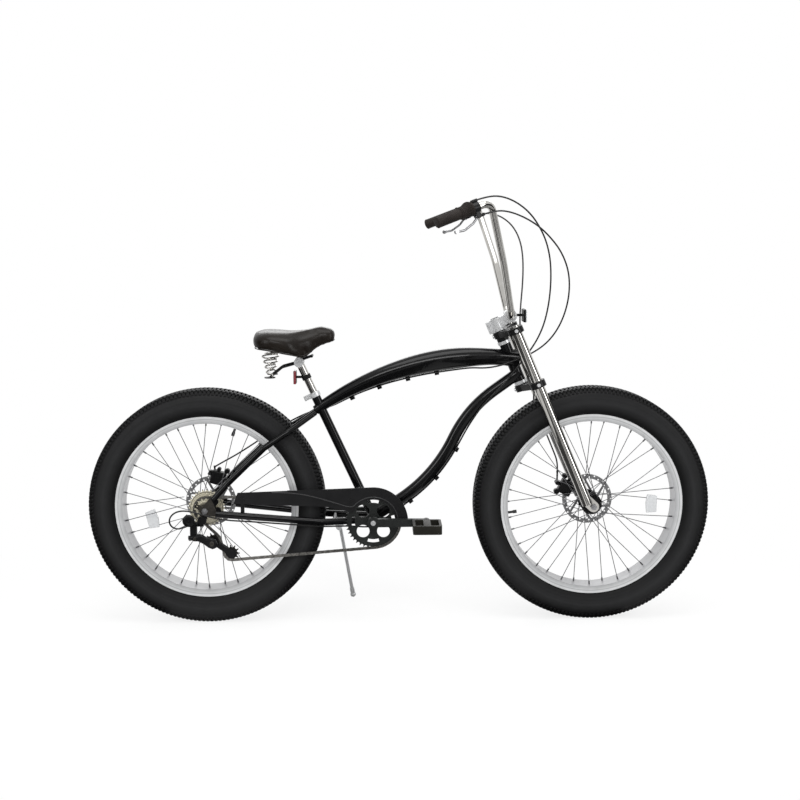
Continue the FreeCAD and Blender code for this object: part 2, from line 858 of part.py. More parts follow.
fork_plate_outer = front_hub_width / 2 + fork_lug_thickness
dropout_outer = rear_hub_width / 2 + dropout_thickness
plain_tyre = tyre()
wheels = (
    ("front", front_axle_point, front_valve_angle, front_flange_left, front_flange_right, front_hub_end,
     -front_hub_end, hub_end_radius, front_rotor_place),
    ("rear", rear_axle_point, rear_valve_angle, rear_flange_left, rear_flange_right, rear_hub_end,
     -freewheel_seat_end, freewheel_seat_radius, rear_rotor_place),
)
for end_name, point, valve, left, right, hub_left, hub_right, right_radius, rotor_side in wheels:
    save(end_name + "_tyre", moved(plain_tyre, point))
    save(end_name + "_rim", moved(rim(valve), point))
    save(end_name + "_inner_tube", moved(inner_tube(valve), point))
    save(end_name + "_spokes", *place_at(point, spokes(left, right)))
    save(end_name + "_hub", *place_at(point, hub(left, right, hub_left, hub_right, right_radius, rotor_side)))
    save(end_name + "_rotor", *place_at(point, rotor(rotor_side)))
front_axle_solids = place_at(front_axle_point, axle(front_hub_width, front_hub_end, -front_hub_end,
                                                    fork_plate_outer))
rear_axle_solids = place_at(rear_axle_point, axle(rear_hub_width, rear_hub_end, -freewheel_seat_end,
                                                  dropout_outer))
save("front_axle", *front_axle_solids)
save("rear_axle", *rear_axle_solids)


# Frame tubes
head_low = steer_point(head_tube_start)
head_high = steer_point(head_tube_start + head_tube_length)
head_solid = rod(head_low, head_high, head_tube_radius)
head_tube = bored(head_low, head_high, head_tube_radius, head_tube_bore)
seat_outer = rod(bracket_point, seat_top, seat_tube_radius)
shell_half = Y_AXIS * (bracket_shell_width / 2)
shell_outer = rod(bracket_point - shell_half, bracket_point + shell_half, bracket_shell_radius)
shell_bore = rod(bracket_point - shell_half * 2, bracket_point + shell_half * 2, bracket_cup_radius)
seat_bore = rod(bracket_point, seat_top + offset(seat_up, cut_overrun), post_radius + post_fit)
seat_tube = shell_outer.fuse(seat_outer).cut(seat_bore).cut(shell_bore).removeSplitter()


def top_tube_point(turn):
    """A place on the top tube's arc, by the angle turned back from its crown."""
    centre = Vector(top_tube_crown_x, 0, head_high.z - top_tube_drop - top_tube_bend)
    angle = math.radians(turn)
    return centre + Vector(-math.sin(angle), 0, math.cos(angle)) * top_tube_bend


def top_tube_section(turn, radius):
    """A round section square to the arc."""
    angle = math.radians(turn)
    return Part.Wire(Part.Circle(top_tube_point(turn), Vector(math.cos(angle), 0, math.sin(angle)),
                                 radius).toShape())


def top_tube_body(inset):
    """A full front part and an evenly tapered rear part on one arc."""
    start = top_tube_section(top_tube_front_turn, top_tube_radius - inset)
    span = top_tube_rear_turn - top_tube_taper_start
    sections = [start]
    middle_turn = (top_tube_front_turn + top_tube_taper_start) / 2
    sections.append(top_tube_section(middle_turn, top_tube_radius - inset))
    for index in range(top_tube_sections + 1):
        share = index / top_tube_sections
        radius = top_tube_radius + (top_tube_end_radius - top_tube_radius) * share
        sections.append(top_tube_section(top_tube_taper_start + span * share, radius - inset))
    return Part.makeLoft(sections, True, False)


top_tube_whole = top_tube_body(0)
top_tube = top_tube_whole.cut(top_tube_body(tube_thickness)).cut([head_solid, seat_outer])
top_tube = max(top_tube.Solids, key=lambda solid: solid.Volume)
end_turn = math.radians(top_tube_rear_turn)
end_run = Vector(-math.cos(end_turn), 0, -math.sin(end_turn))
end_start = top_tube_point(top_tube_rear_turn)
top_tube = top_tube.fuse(rod(end_start - end_run * tube_thickness, end_start, top_tube_end_radius - skin_gap))


def down_tube_path():
    """Line, arc up, arc down, line, from the bottom bracket to the head tube."""
    low, steep, high = (math.radians(a) for a in (down_tube_low_angle, down_tube_steep_angle,
                                                  down_tube_high_angle))

    def along(angle):
        return Vector(math.cos(angle), 0, math.sin(angle))

    def left_of(angle):
        return Vector(-math.sin(angle), 0, math.cos(angle))

    first = bracket_point + along(low) * down_tube_first_run
    low_centre = first + left_of(low) * down_tube_low_bend
    second = low_centre - left_of(steep) * down_tube_low_bend
    low_middle = low_centre - left_of((low + steep) / 2) * down_tube_low_bend
    high_centre = second - left_of(steep) * down_tube_high_bend
    third = high_centre + left_of(high) * down_tube_high_bend
    high_middle = high_centre + left_of((steep + high) / 2) * down_tube_high_bend
    last = third + along(high) * down_tube_last_run
    return Part.Wire([
        Part.LineSegment(bracket_point, first).toShape(),
        Part.Arc(first, low_middle, second).toShape(),
        Part.Arc(second, high_middle, third).toShape(),
        Part.LineSegment(third, last).toShape(),
    ])


def down_tube_body(radius):
    """The down tube's path filled to a radius."""
    angle = math.radians(down_tube_low_angle)
    ring = Part.Circle(bracket_point, Vector(math.cos(angle), 0, math.sin(angle)), radius)
    return down_tube_path().makePipeShell([Part.Wire(ring.toShape())], True, False)


down_tube_whole = down_tube_body(down_tube_radius)
down_tube = down_tube_whole.cut(down_tube_body(down_tube_radius - tube_thickness))
low_cup = rod(head_low, head_low - steer_up * cup_height, cup_radius + skin_gap)
down_tube = down_tube.cut([head_solid, low_cup, shell_outer, seat_outer, top_tube_whole])
down_tube = max(down_tube.Solids, key=lambda solid: solid.Volume)


def dropout(side):
    """A plate round the axle with arms towards both stays; the right one carries the hanger."""
    inner = rear_hub_width / 2 * side
    centre = rear_axle_point + Y_AXIS * inner
    up = (seat_stay_end - seat_stay_low).normalize() * -1
    forward = (chain_stay_spread - chain_stay_end).normalize()
    up = Vector(up.x, 0, up.z).normalize()
    forward = Vector(forward.x, 0, forward.z).normalize()
    thick = Y_AXIS * dropout_thickness * side

    def arm(along, reach):
        across = Vector(-along.z, 0, along.x)
        half = dropout_width / 2
        corners = [centre - along * half - across * half, centre + along * reach - across * half]
        corners += [centre + along * reach + across * half, centre - along * half + across * half]
        radii = [dropout_corner, dropout_corner, dropout_corner, dropout_corner]
        return Part.Face(polygon(corners, radii)).extrude(thick)

    plate = arm(up, dropout_reach_up).fuse(arm(forward, dropout_reach_forward))
    eyelet = centre + Vector(-eyelet_offset, 0, eyelet_rise)
    lug = rod(eyelet, eyelet + thick, eyelet_radius * eyelet_lug_share)
    bridge = block((centre + eyelet) * 0.5 + thick * 0.5, eyelet - centre, Y_AXIS,
                   (eyelet_offset, dropout_thickness, dropout_width / 2))
    plate = plate.fuse([lug, bridge])
    holes = [rod(centre - thick, centre + thick * 2, axle_radius + skin_gap)]
    holes.append(rod(eyelet - thick, eyelet + thick * 2, eyelet_radius))
    if side < 0:
        hanger = centre + Vector(-hanger_back, 0, -hanger_drop)
        plate = plate.fuse(rod(hanger, hanger + thick, hanger_radius))
        neck = block((centre + hanger) * 0.5 + thick * 0.5, hanger - centre, Y_AXIS,
                     (hanger_drop, dropout_thickness, hanger_radius * 2))
        plate = plate.fuse(neck)
        holes.append(rod(hanger - thick, hanger + thick * 2, hanger_bolt_radius))
    return plate.removeSplitter().cut(holes)


def chain_stay(side):
    """A bent tube from the bottom bracket shell, welded to its dropout."""
    points = [Vector(p.x, p.y * side, p.z) for p in (chain_stay_front, chain_stay_spread, chain_stay_end)]
    tube = pipe(points, [chain_stay_bend], chain_stay_radius)
    hollow = pipe(points, [chain_stay_bend], chain_stay_radius - tube_thickness)
    tube = tube.cut(hollow).cut([shell_outer, seat_outer])
    return max(tube.Solids, key=lambda solid: solid.Volume).fuse(dropout(side)).removeSplitter()


right_chain_stay = chain_stay(-1)
left_chain_stay = chain_stay(1)
chain_stays_union = right_chain_stay.fuse(left_chain_stay)
bridge_share = (stay_bridge_x - chain_stay_front.x) / (chain_stay_spread.x - chain_stay_front.x)
bridge_side = chain_stay_front.y + (chain_stay_spread.y - chain_stay_front.y) * bridge_share
bridge_end = Vector(stay_bridge_x, bridge_side, chain_stay_front.z)
stay_fill = [pipe([Vector(p.x, p.y * side, p.z) for p in (chain_stay_front, chain_stay_spread,
                                                          chain_stay_end)],
                  [chain_stay_bend], chain_stay_radius) for side in (1, -1)]
stay_bridge = rod(mirrored_point(bridge_end), bridge_end, stay_bridge_radius).cut(stay_fill)
stay_bridge = max(stay_bridge.Solids, key=lambda solid: solid.Volume)
save("chain_stays", right_chain_stay, left_chain_stay, stay_bridge)


def seat_stay(side):
    """A tube that leaves the top tube's side, clears the tyre and runs down to the dropout."""
    route = (seat_stay_top, seat_stay_spread, seat_stay_middle, seat_stay_low, seat_stay_end)
    points = [Vector(p.x, p.y * side, p.z) for p in route]
    bends = [stay_bend, stay_bend, stay_bend * 2]
    tube = pipe(points, bends, stay_radius).cut(pipe(points, bends, stay_radius - tube_thickness))
    tube = tube.cut([top_tube_whole, seat_outer, chain_stays_union])
    return max(tube.Solids, key=lambda solid: solid.Volume)


def with_guides(tube, route, places):
    """A tube with short welded sleeves for a cable at the middle of chosen runs."""
    for place in places:
        first = Vector(*route[place])
        second = Vector(*route[place + 1])
        middle = (first + second) * 0.5
        half = offset(second - first, guide_half_length)
        hole = rod(middle - half * 2, middle + half * 2, housing_radius + guide_hole_gap)
        tube = tube.fuse(rod(middle - half, middle + half, guide_radius)).cut(hole)
    return tube


seat_stays = [seat_stay(-1), seat_stay(1)]
top_tube = with_guides(top_tube, rear_brake_route, rear_brake_guides)
down_tube = with_guides(down_tube, shift_route, shift_guides)
save("head_tube", head_tube)
save("top_tube", top_tube)
save("down_tube", down_tube)
save("seat_tube", seat_tube)
save("seat_stays", *seat_stays)

# Headset and bottom bracket cups
cup_shapes = []
for start, direction in ((head_low, -1), (head_high, 1)):
    top = start + steer_up * cup_height * direction
    cup_shapes.append(bored(start, top, cup_radius, steerer_radius + running_fit))
for side in (1, -1):
    face = bracket_point + shell_half * side
    cup = bored(face - Y_AXIS * bracket_cup_length * side, face, bracket_cup_radius, spindle_radius
                + running_fit)
    flange = bored(face, face + Y_AXIS * bracket_flange * side, bracket_shell_radius, spindle_radius
                   + running_fit)
    cup_shapes.append(cup.fuse(flange).removeSplitter())
save("bearing_cups", *cup_shapes)

# Seat clamp with its bolt, split at the rear
clamp_low = seat_top - seat_up * (clamp_height * clamp_seat_share)
clamp_high = clamp_low + seat_up * clamp_height
seat_back = Vector(-seat_up.z, 0, seat_up.x)
collar_outer = seat_tube_radius + clamp_wall
collar = rod(clamp_low, clamp_high, collar_outer)
ear_centre = (clamp_low + clamp_high) * 0.5 + seat_back * (collar_outer + clamp_ear_reach) * 0.5
ear_depth = collar_outer + clamp_ear_reach
ears = block(ear_centre, seat_back, Y_AXIS, (ear_depth, clamp_ear_thickness * 2 + clamp_gap, clamp_height))
bore = rod(clamp_low - seat_up * cut_overrun, seat_top, seat_tube_radius)
neck_bore = rod(clamp_low - seat_up, clamp_high + seat_up * cut_overrun, post_radius + post_fit)
slot = block(ear_centre, seat_back, Y_AXIS, (ear_depth + cut_overrun, clamp_gap, clamp_height + cut_overrun))
bolt_point = (clamp_low + clamp_high) * 0.5 + seat_back * (collar_outer + clamp_ear_reach * clamp_bolt_share)
bolt_half = Y_AXIS * (clamp_ear_thickness + clamp_gap / 2 + clamp_bolt_overhang)
head_span = Y_AXIS * (clamp_ear_thickness + clamp_gap / 2)
bolt = rod(bolt_point - bolt_half, bolt_point + bolt_half, clamp_bolt_radius)
bolt = bolt.fuse([rod(bolt_point + head_span, bolt_point + bolt_half, clamp_bolt_head),
                  rod(bolt_point - bolt_half, bolt_point - head_span, clamp_bolt_head)])
clamp_hole = rod(bolt_point - bolt_half, bolt_point + bolt_half, clamp_bolt_radius)
seat_clamp = collar.fuse(ears).cut([bore, neck_bore, slot, clamp_hole]).removeSplitter()
save("seat_clamp", seat_clamp, bolt)

# Seat post with its reflector
post_low = seat_top - seat_up * post_insertion
post_high = seat_top + seat_up * post_stand
post_head = Y_AXIS * post_head_half
post = rod(post_low, post_high, post_radius).fuse(rod(post_high - post_head, post_high + post_head,
                                                      post_head_radius))
post = post.removeSplitter()
save("seat_post", post)
band_low = seat_top + seat_up * (reflector_place - reflector_band_height / 2)
band_high = band_low + seat_up * reflector_band_height
band = bored(band_low, band_high, post_radius + reflector_band_wall, post_radius + skin_gap)
band_middle = (band_low + band_high) * 0.5
lens_face = band_middle - X_AXIS * (post_radius + reflector_band_wall + reflector_arm)
arm = rod(band_middle - X_AXIS * (post_radius + reflector_band_wall / 2), lens_face, reflector_arm_radius)
lens = block(lens_face - X_AXIS * (reflector_depth / 2), X_AXIS, Y_AXIS,
             (reflector_depth, reflector_width, reflector_height))
lens = lens.makeFillet(reflector_depth * lens_round_share, lens.Edges)
post_space = rod(post_low, post_high, post_radius + skin_gap)
save("rear_reflector", band.fuse([arm, lens]).cut(post_space).removeSplitter())

# Fork: two clamps, the steerer in the lower one, and two legs with dropouts
legs = []
for side in (1, -1):
    low = steer_point(leg_bottom, leg_offset, clamp_leg_spacing * side)
    high = steer_point(upper_clamp_start + upper_clamp_thickness + leg_cap, leg_offset,
                       clamp_leg_spacing * side)
    leg = rod(low, high, leg_radius).cut(rod(low + steer_up * leg_radius, high - steer_up * leg_cap,
                                             leg_radius - leg_wall))
    inner = front_hub_width / 2 * side
    lug_start = Vector(front_axle_point.x, inner, front_axle_point.z)
    thick = Y_AXIS * fork_lug_thickness * side
    lug = rod(lug_start, lug_start + thick, fork_lug_radius)
    web_end = steer_point(leg_bottom + leg_radius, leg_offset, inner)
    web = block((lug_start + web_end) * 0.5 + thick * 0.5, web_end - lug_start, Y_AXIS,
                (lug_start.distanceToPoint(web_end), fork_lug_thickness, fork_lug_radius * 2))
    leg = leg.fuse([lug, web]).cut(rod(lug_start - thick, lug_start + thick * 2, axle_radius + skin_gap))
    legs.append(leg.removeSplitter())
save("fork_legs", *legs)


def fork_clamp(start, thickness, hole):
    """A plate square to the steering axis that grips the steerer and both legs."""
    low = steer_point(start)
    bosses = [rod(low, steer_point(start + thickness), steerer_clamp_radius)]
    cuts = []
    boss_radius = leg_radius + fork_clamp_wall
    for side in (1, -1):
        base = steer_point(start, leg_offset, clamp_leg_spacing * side)
        top = steer_point(start + thickness, leg_offset, clamp_leg_spacing * side)
        bosses.append(rod(base, top, boss_radius))
        middle = (low + base) * 0.5 + steer_up * (thickness / 2)
        bosses.append(block(middle, base - low, steer_up,
                            (low.distanceToPoint(base), thickness, steerer_clamp_radius * clamp_arm_share)))
        cuts.append(rod(base - steer_up * cut_overrun, top + steer_up * cut_overrun, leg_radius))
    plate = bosses[0].fuse(bosses[1:]).removeSplitter().cut(cuts)
    if hole:
        plate = plate.cut(rod(low - steer_up * cut_overrun, steer_point(start + thickness + cut_overrun),
                              steerer_radius))
    return plate


lower_clamp = fork_clamp(lower_clamp_start, lower_clamp_thickness, False)
steerer = rod(steer_point(lower_clamp_start + lower_clamp_thickness / 2), steer_point(steerer_top),
              steerer_radius)
lower_clamp = lower_clamp.fuse(steerer).removeSplitter()
upper_clamp = fork_clamp(upper_clamp_start, upper_clamp_thickness, True)
clamp_bolts = []
for start, thickness in ((lower_clamp_start, lower_clamp_thickness),
                         (upper_clamp_start, upper_clamp_thickness)):
    for side in (1, -1):
        outer = clamp_leg_spacing + leg_radius + fork_clamp_wall
        seat = steer_point(start + thickness / 2, leg_offset, outer * side)
        clamp_bolts.append(rod(seat, seat + Y_AXIS * fork_bolt_radius * side,
                               fork_bolt_radius * bolt_head_share))
        rear = steer_point(start + thickness / 2, -steerer_clamp_radius)
    clamp_bolts.append(rod(rear, rear - steer_front * fork_bolt_radius, fork_bolt_radius * bolt_head_share))
spacer_start = head_tube_start + head_tube_length + cup_height + spacer_gap
spacer = bored(steer_point(spacer_start), steer_point(upper_clamp_start), spacer_radius, steerer_radius)
save("fork_clamps", upper_clamp, lower_clamp, spacer, *clamp_bolts)

# Stem with a rear pinch clamp and a bar clamp
stem_start = upper_clamp_start + upper_clamp_thickness + stem_gap
stem_low = steer_point(stem_start)
stem_high = steer_point(stem_start + stem_height)
bar_centre = steer_point(stem_start + stem_bar_lift, stem_reach)
stem_middle = (stem_low + stem_high) * 0.5
bar_half = Y_AXIS * (stem_width / 2)
stem = rod(stem_low, stem_high, stem_radius)
stem = stem.fuse([
    rod(bar_centre - bar_half, bar_centre + bar_half, stem_bar_clamp_radius),
    block((stem_middle + bar_centre) * 0.5, bar_centre - stem_middle, Y_AXIS,
          (stem_middle.distanceToPoint(bar_centre), stem_arm_width, stem_arm_height)),
    block(stem_middle - steer_front * (stem_ear_reach / 2), steer_front, Y_AXIS,
          (stem_ear_reach, stem_ear_width, stem_height)),
])
ear_slot = block(stem_middle - steer_front * (stem_ear_reach / 2), steer_front, Y_AXIS,
                 (stem_ear_reach + cut_overrun, clamp_gap, stem_height + cut_overrun))
stem = stem.cut([
    rod(stem_low - steer_up * cut_overrun, stem_high + steer_up * cut_overrun, steerer_radius),
    rod(bar_centre - bar_half * 2, bar_centre + bar_half * 2, bar_radius),
    ear_slot,
]).removeSplitter()
stem_bolts = []
for rise in (-0.5, 0.5):
    inset = stem_ear_reach - stem_bolt_head * bolt_inset_share
    spot = stem_middle - steer_front * inset + steer_up * stem_bolt_spacing * rise
    for side in (1, -1):
        seat = spot + Y_AXIS * (stem_ear_width / 2) * side
        stem_bolts.append(rod(seat, seat + Y_AXIS * stem_bolt_overhang * side, stem_bolt_head))
stem_cap = rod(stem_high, stem_high + steer_up * stem_bolt_overhang, stem_radius)
stem_cap = stem_cap.cut([rod(stem_low, steer_point(steerer_top), steerer_radius), stem])
save("stem", stem, stem_cap, *stem_bolts)

# Handlebar, grips and the parts on it
bar_start = Vector(bar_centre)
bar_corner = bar_start + Y_AXIS * bar_corner_y
left_bar = [bar_corner, bar_middle, bar_top, bar_end]
bar_points = [mirrored_point(p) for p in reversed(left_bar)] + left_bar
bar_bends = [bar_top_bend, bar_middle_bend, bar_low_bend, bar_low_bend, bar_middle_bend, bar_top_bend]
handlebar = pipe(bar_points, bar_bends, bar_radius).cut(pipe(bar_points, bar_bends, bar_radius - bar_wall))
save("handlebar", handlebar)
left_run = (bar_top - bar_end).normalize()
lever_down = Vector(lever_lean_share, 0, -1)
lever_down = (lever_down - left_run * lever_down.dot(left_run)).normalize()


def left_bar_point(distance):
    """A place on the left bar's last straight run, from its end inwards."""
    return bar_end + left_run * distance


def grip(length, flange_radius):
    """A sleeve with a closed end and a flange at the inner end, made on the left."""
    start = left_bar_point(-grip_cap)
    end = left_bar_point(length)
    sleeve = rod(start, end, grip_radius)
    flange = rod(left_bar_point(length - grip_flange), end, flange_radius)
    return sleeve.fuse(flange).removeSplitter().cut(rod(bar_end, end + left_run * cut_overrun, bar_radius))


save("grips", grip(left_grip_length, grip_flange_radius), mirrored(grip(right_grip_length, grip_end_radius)))
shifter_start = right_grip_length + shifter_gap
shifter_end = shifter_start + shifter_length
shifter = bored(left_bar_point(shifter_start), left_bar_point(shifter_end), shifter_radius, bar_radius
                + running_fit)
save("twist_shifter", mirrored(shifter))
perch_start = max(shifter_end, left_grip_length) + shifter_gap
perch_middle = left_bar_point(perch_start + perch_length / 2)
lever_pivot = perch_middle + lever_down * perch_arm_reach
lever_axis = left_run.cross(lever_down).normalize()


def perch(with_barrel):
    """A bar clamp with a forked arm and the pin that carries the lever, made on the left."""
    clamp = rod(left_bar_point(perch_start), left_bar_point(perch_start + perch_length), perch_radius)
    arm = block((perch_middle + lever_pivot) * 0.5, lever_down, left_run,
                (perch_arm_reach, perch_arm_width, lever_hub_height + perch_arm_width))
    ends = lever_axis * (lever_hub_height + perch_arm_width) * 0.5
    knuckle = rod(lever_pivot - ends, lever_pivot + ends, lever_hub_radius)
    barrel_end = lever_pivot + left_run * (perch_arm_width * barrel_end_share)
    barrel = rod(lever_pivot + left_run * (perch_arm_width * barrel_start_share), barrel_end,
                 lever_hub_radius * barrel_radius_share)
    parts = [arm, knuckle, barrel]
    if with_barrel:
        seat = perch_middle - lever_down * (perch_radius + lever_hub_radius / 2)
        parts.append(rod(seat - left_run * (perch_arm_width / 2), seat + left_run * perch_arm_width,
                         lever_hub_radius * barrel_radius_share))
    body = clamp.fuse(parts).removeSplitter()
    slot_height = lever_hub_height + perch_slot_gap * 2
    reach = lever_hub_radius + perch_slot_gap * 2
    slot = block(lever_pivot, lever_down, left_run, (reach * 2, perch_arm_width * 4, slot_height))
    slot = slot.cut(block(lever_pivot + left_run * (reach + perch_arm_width * 2), lever_down, left_run,
                          (reach * 4, perch_arm_width * 4, slot_height * 2)))
    body = body.cut([slot, rod(left_bar_point(0), left_bar_point(perch_start + perch_length * 2),
                               bar_radius)])
    return body.fuse(rod(lever_pivot - ends, lever_pivot + ends, lever_pin_radius)).removeSplitter()


def lever():
    """A hub on the perch's pin and a curved blade with a ball tip, made on the left."""
    blade = []
    for along, away in lever_points_shares:
        blade.append(lever_pivot - left_run * (along * lever_length) + lever_down * (away * lever_length))
    ends = lever_axis * lever_hub_height * 0.5
    hub_solid = rod(lever_pivot - ends, lever_pivot + ends, lever_hub_radius)
    tip_half = lever_axis * lever_blade_radius
    tip = rod(blade[-1] - tip_half, blade[-1] + tip_half, lever_tip_radius)
    whole = pipe(blade, [lever_bend, lever_bend], lever_blade_radius * blade_share).fuse([hub_solid, tip])
    return whole.cut(rod(lever_pivot - ends * 2, lever_pivot + ends * 2, lever_pin_radius + running_fit))


left_lever = lever()
save("lever_perches", perch(False), mirrored(perch(True)))
save("left_brake_lever", left_lever)
save("right_brake_lever", mirrored(left_lever))

# Front reflector on a band round the bar beside the stem
band_near = bar_centre + Y_AXIS * (stem_width / 2 + skin_gap)
lamp_band = bored(band_near, band_near + Y_AXIS * lamp_band_width, bar_radius + lamp_band_wall, bar_radius)
lamp_front = bar_centre + X_AXIS * lamp_reach
lamp_arm_start = bar_centre + X_AXIS * (bar_radius + lamp_band_wall / 2) + Y_AXIS * (stem_width / 2
                                                                                     + lamp_band_width / 2)
lamp_arm_end = lamp_front + Y_AXIS * (stem_width / 2 + lamp_band_width / 2)
lamp_arm = block((lamp_arm_start + lamp_arm_end) * 0.5, X_AXIS, Y_AXIS,
                 (lamp_arm_start.distanceToPoint(lamp_arm_end), lamp_band_width - skin_gap, lamp_arm_width))
lamp = block(lamp_front + X_AXIS * (lamp_depth / 2) + Y_AXIS * (lamp_band_width / 2), X_AXIS, Y_AXIS,
             (lamp_depth, lamp_width + lamp_band_width, lamp_height))
lamp = lamp.makeFillet(lamp_depth * lens_round_share, lamp.Edges)
save("front_reflector", lamp_band.fuse([lamp_arm, lamp]).removeSplitter())


# Drive: chain path, sprockets and chain
def pitch_radius(teeth):
    """The circle that the chain's pins follow on a sprocket."""
    return chain_pitch / (2 * math.sin(math.pi / teeth))


def tangent(first, first_radius, first_turn, second, second_radius, second_turn):
    """The straight chain run between two sprockets, each passed in its own sense (+1 is anticlockwise)."""
    line = second - first
    distance = line.Length
    base = math.atan2(line.z, line.x)
    swing = math.asin((first_radius * first_turn - second_radius * second_turn) / distance)
    angle = base + swing
    side = Vector(math.sin(angle), 0, -math.cos(angle))
    return first + side * first_radius * first_turn, second + side * second_radius * second_turn


guide_point = Vector(guide_pulley_x, 0, guide_pulley_height)


def chain_stops(cage_angle):
    """The sprockets in the order that the chain passes them, with the sense of each."""
    angle = math.radians(cage_angle)
    tension = guide_point + Vector(math.cos(angle), 0, math.sin(angle)) * pulley_spacing
    return (
        (bracket_point, chainring_teeth, -1),
        (tension, pulley_teeth, -1),
        (guide_point, pulley_teeth, 1),
        (rear_axle_point, drive_cog_teeth, -1),
    )


def chain_spans(cage_angle):
    """Each arc and straight run of the chain as (kind, links, data), clockwise seen from the right."""
    stops = chain_stops(cage_angle)
    runs = []
    for index, (centre, teeth, sense) in enumerate(stops):
        following, next_teeth, next_sense = stops[(index + 1) % len(stops)]
        runs.append(tangent(centre, pitch_radius(teeth), sense, following, pitch_radius(next_teeth),
                            next_sense))
    spans = []
    for index, (centre, teeth, sense) in enumerate(stops):
        arrive = runs[index - 1][1] - centre
        leave = runs[index][0] - centre
        start = math.atan2(arrive.z, arrive.x)
        sweep = (math.atan2(leave.z, leave.x) - start) * sense % (2 * math.pi)
        spans.append(("arc", sweep * teeth / (2 * math.pi),
                      (centre, pitch_radius(teeth), start, sense, sweep)))
        length = runs[index][0].distanceToPoint(runs[index][1])
        spans.append(("run", length / chain_pitch, runs[index]))
    return spans


def chain_links(cage_angle):
    """The chain's length in links for a cage angle."""
    return sum(span[1] for span in chain_spans(cage_angle))


wanted_links = 2 * round(chain_links((cage_angle_low + cage_angle_high) / 2) / 2)
low_angle, high_angle = cage_angle_low, cage_angle_high
links_grow = chain_links(cage_angle_low) < chain_links(cage_angle_high)
while high_angle - low_angle > 1e-9:
    middle_angle = (low_angle + high_angle) / 2
    if (chain_links(middle_angle) < wanted_links) == links_grow:
        low_angle = middle_angle
    else:
        high_angle = middle_angle
cage_angle = low_angle
tension_point = chain_stops(cage_angle)[1][0]
print("chain links", wanted_links, "cage angle", round(cage_angle, 2), "tension pulley", tension_point)


def chain_pins():
    """The place of each pin, and for each sprocket the angle of one pin that lies on it."""
    spans = chain_spans(cage_angle)
    pins = []
    phases = []
    done = 0.0
    for kind, links, data in spans:
        first = math.ceil(done - 1e-6)
        index = first
        while index < done + links - 1e-6:
            share = (index - done) / links
            if kind == "arc":
                centre, radius, start, sense, sweep = data
                angle = start + sense * sweep * share
                pins.append(centre + Vector(math.cos(angle), 0, math.sin(angle)) * radius)
                if index == first:
                    phases.append(angle)
            else:
                pins.append(data[0] + (data[1] - data[0]) * share)
            index += 1
        done += links
    return pins[:wanted_links], phases


chain_pin_points, sprocket_phases = chain_pins()


def sprocket_outline(teeth, phase):
    """Round roller seats with flanks that open outwards to narrow teeth."""
    radius = pitch_radius(teeth)
    seat = roller_radius + roller_seat_gap
    tip = radius + tooth_height
    lean = math.radians(tooth_flank_lean)
    step = 2 * math.pi / teeth
    edges = []
    ends = []
    for index in range(teeth):
        middle = phase + index * step
        out = Vector(math.cos(middle), 0, math.sin(middle))
        across = Vector(-math.sin(middle), 0, math.cos(middle))
        centre = out * radius
        flank = []
        for side in (-1, 1):
            normal = across * math.cos(lean) * side - out * math.sin(lean)
            touch = centre + normal * seat
            direction = (across * math.sin(lean) * side + out * math.cos(lean)).normalize()
            along = touch.dot(direction)
            length = -along + math.sqrt(along * along - touch.dot(touch) + tip * tip)
            flank.append((touch, touch + direction * length))
        edges.append(Part.LineSegment(flank[0][1], flank[0][0]).toShape())
        edges.append(Part.Arc(flank[0][0], centre - out * seat, flank[1][0]).toShape())
        edges.append(Part.LineSegment(flank[1][0], flank[1][1]).toShape())
        ends.append((flank[0][1], flank[1][1]))
    for index in range(teeth):
        edges.append(Part.LineSegment(ends[index][1], ends[(index + 1) % teeth][0]).toShape())
    return Part.Wire(Part.__sortEdges__(edges))


def sprocket(teeth, phase, place):
    """A toothed plate about the origin, centred on a side place."""
    return moved(slab(sprocket_outline(teeth, phase), tooth_thickness),
                 Y_AXIS * (place - tooth_thickness / 2))


def chain_link(first, second, outer):
    """Two plates with pins in an outer link, or with rollers in an inner link."""
    inside = inner_link_gap / 2
    if outer:
        inside = inside + link_plate_thickness + link_gap
    along = (second - first).normalize()
    up = Vector(-along.z, 0, along.x) * link_plate_radius
    edges = [
        Part.LineSegment(first + up, second + up).toShape(),
        Part.Arc(second + up, second + along * link_plate_radius, second - up).toShape(),
        Part.LineSegment(second - up, first - up).toShape(),
        Part.Arc(first - up, first - along * link_plate_radius, first + up).toShape(),
    ]
    plate = slab(Part.Wire(edges), link_plate_thickness)
    shapes = [moved(plate, Y_AXIS * inside), moved(plate, Y_AXIS * (-inside - link_plate_thickness))]
    reach = Y_AXIS * (inside + link_plate_thickness)
    radius = link_pin_radius if outer else roller_radius
    span = reach if outer else Y_AXIS * inside
    shapes += [rod(point - span, point + span, radius) for point in (first, second)]
    whole = shapes[0].fuse(shapes[1:])
    if not outer:
        whole = whole.cut([rod(p - reach * 2, p + reach * 2, link_pin_radius + running_fit)
                           for p in (first, second)])
    return moved(whole, Y_AXIS * chain_line)


links = []
for index, pin in enumerate(chain_pin_points):
    links.append(chain_link(pin, chain_pin_points[(index + 1) % len(chain_pin_points)], index % 2 == 0))
save("chain", *links)

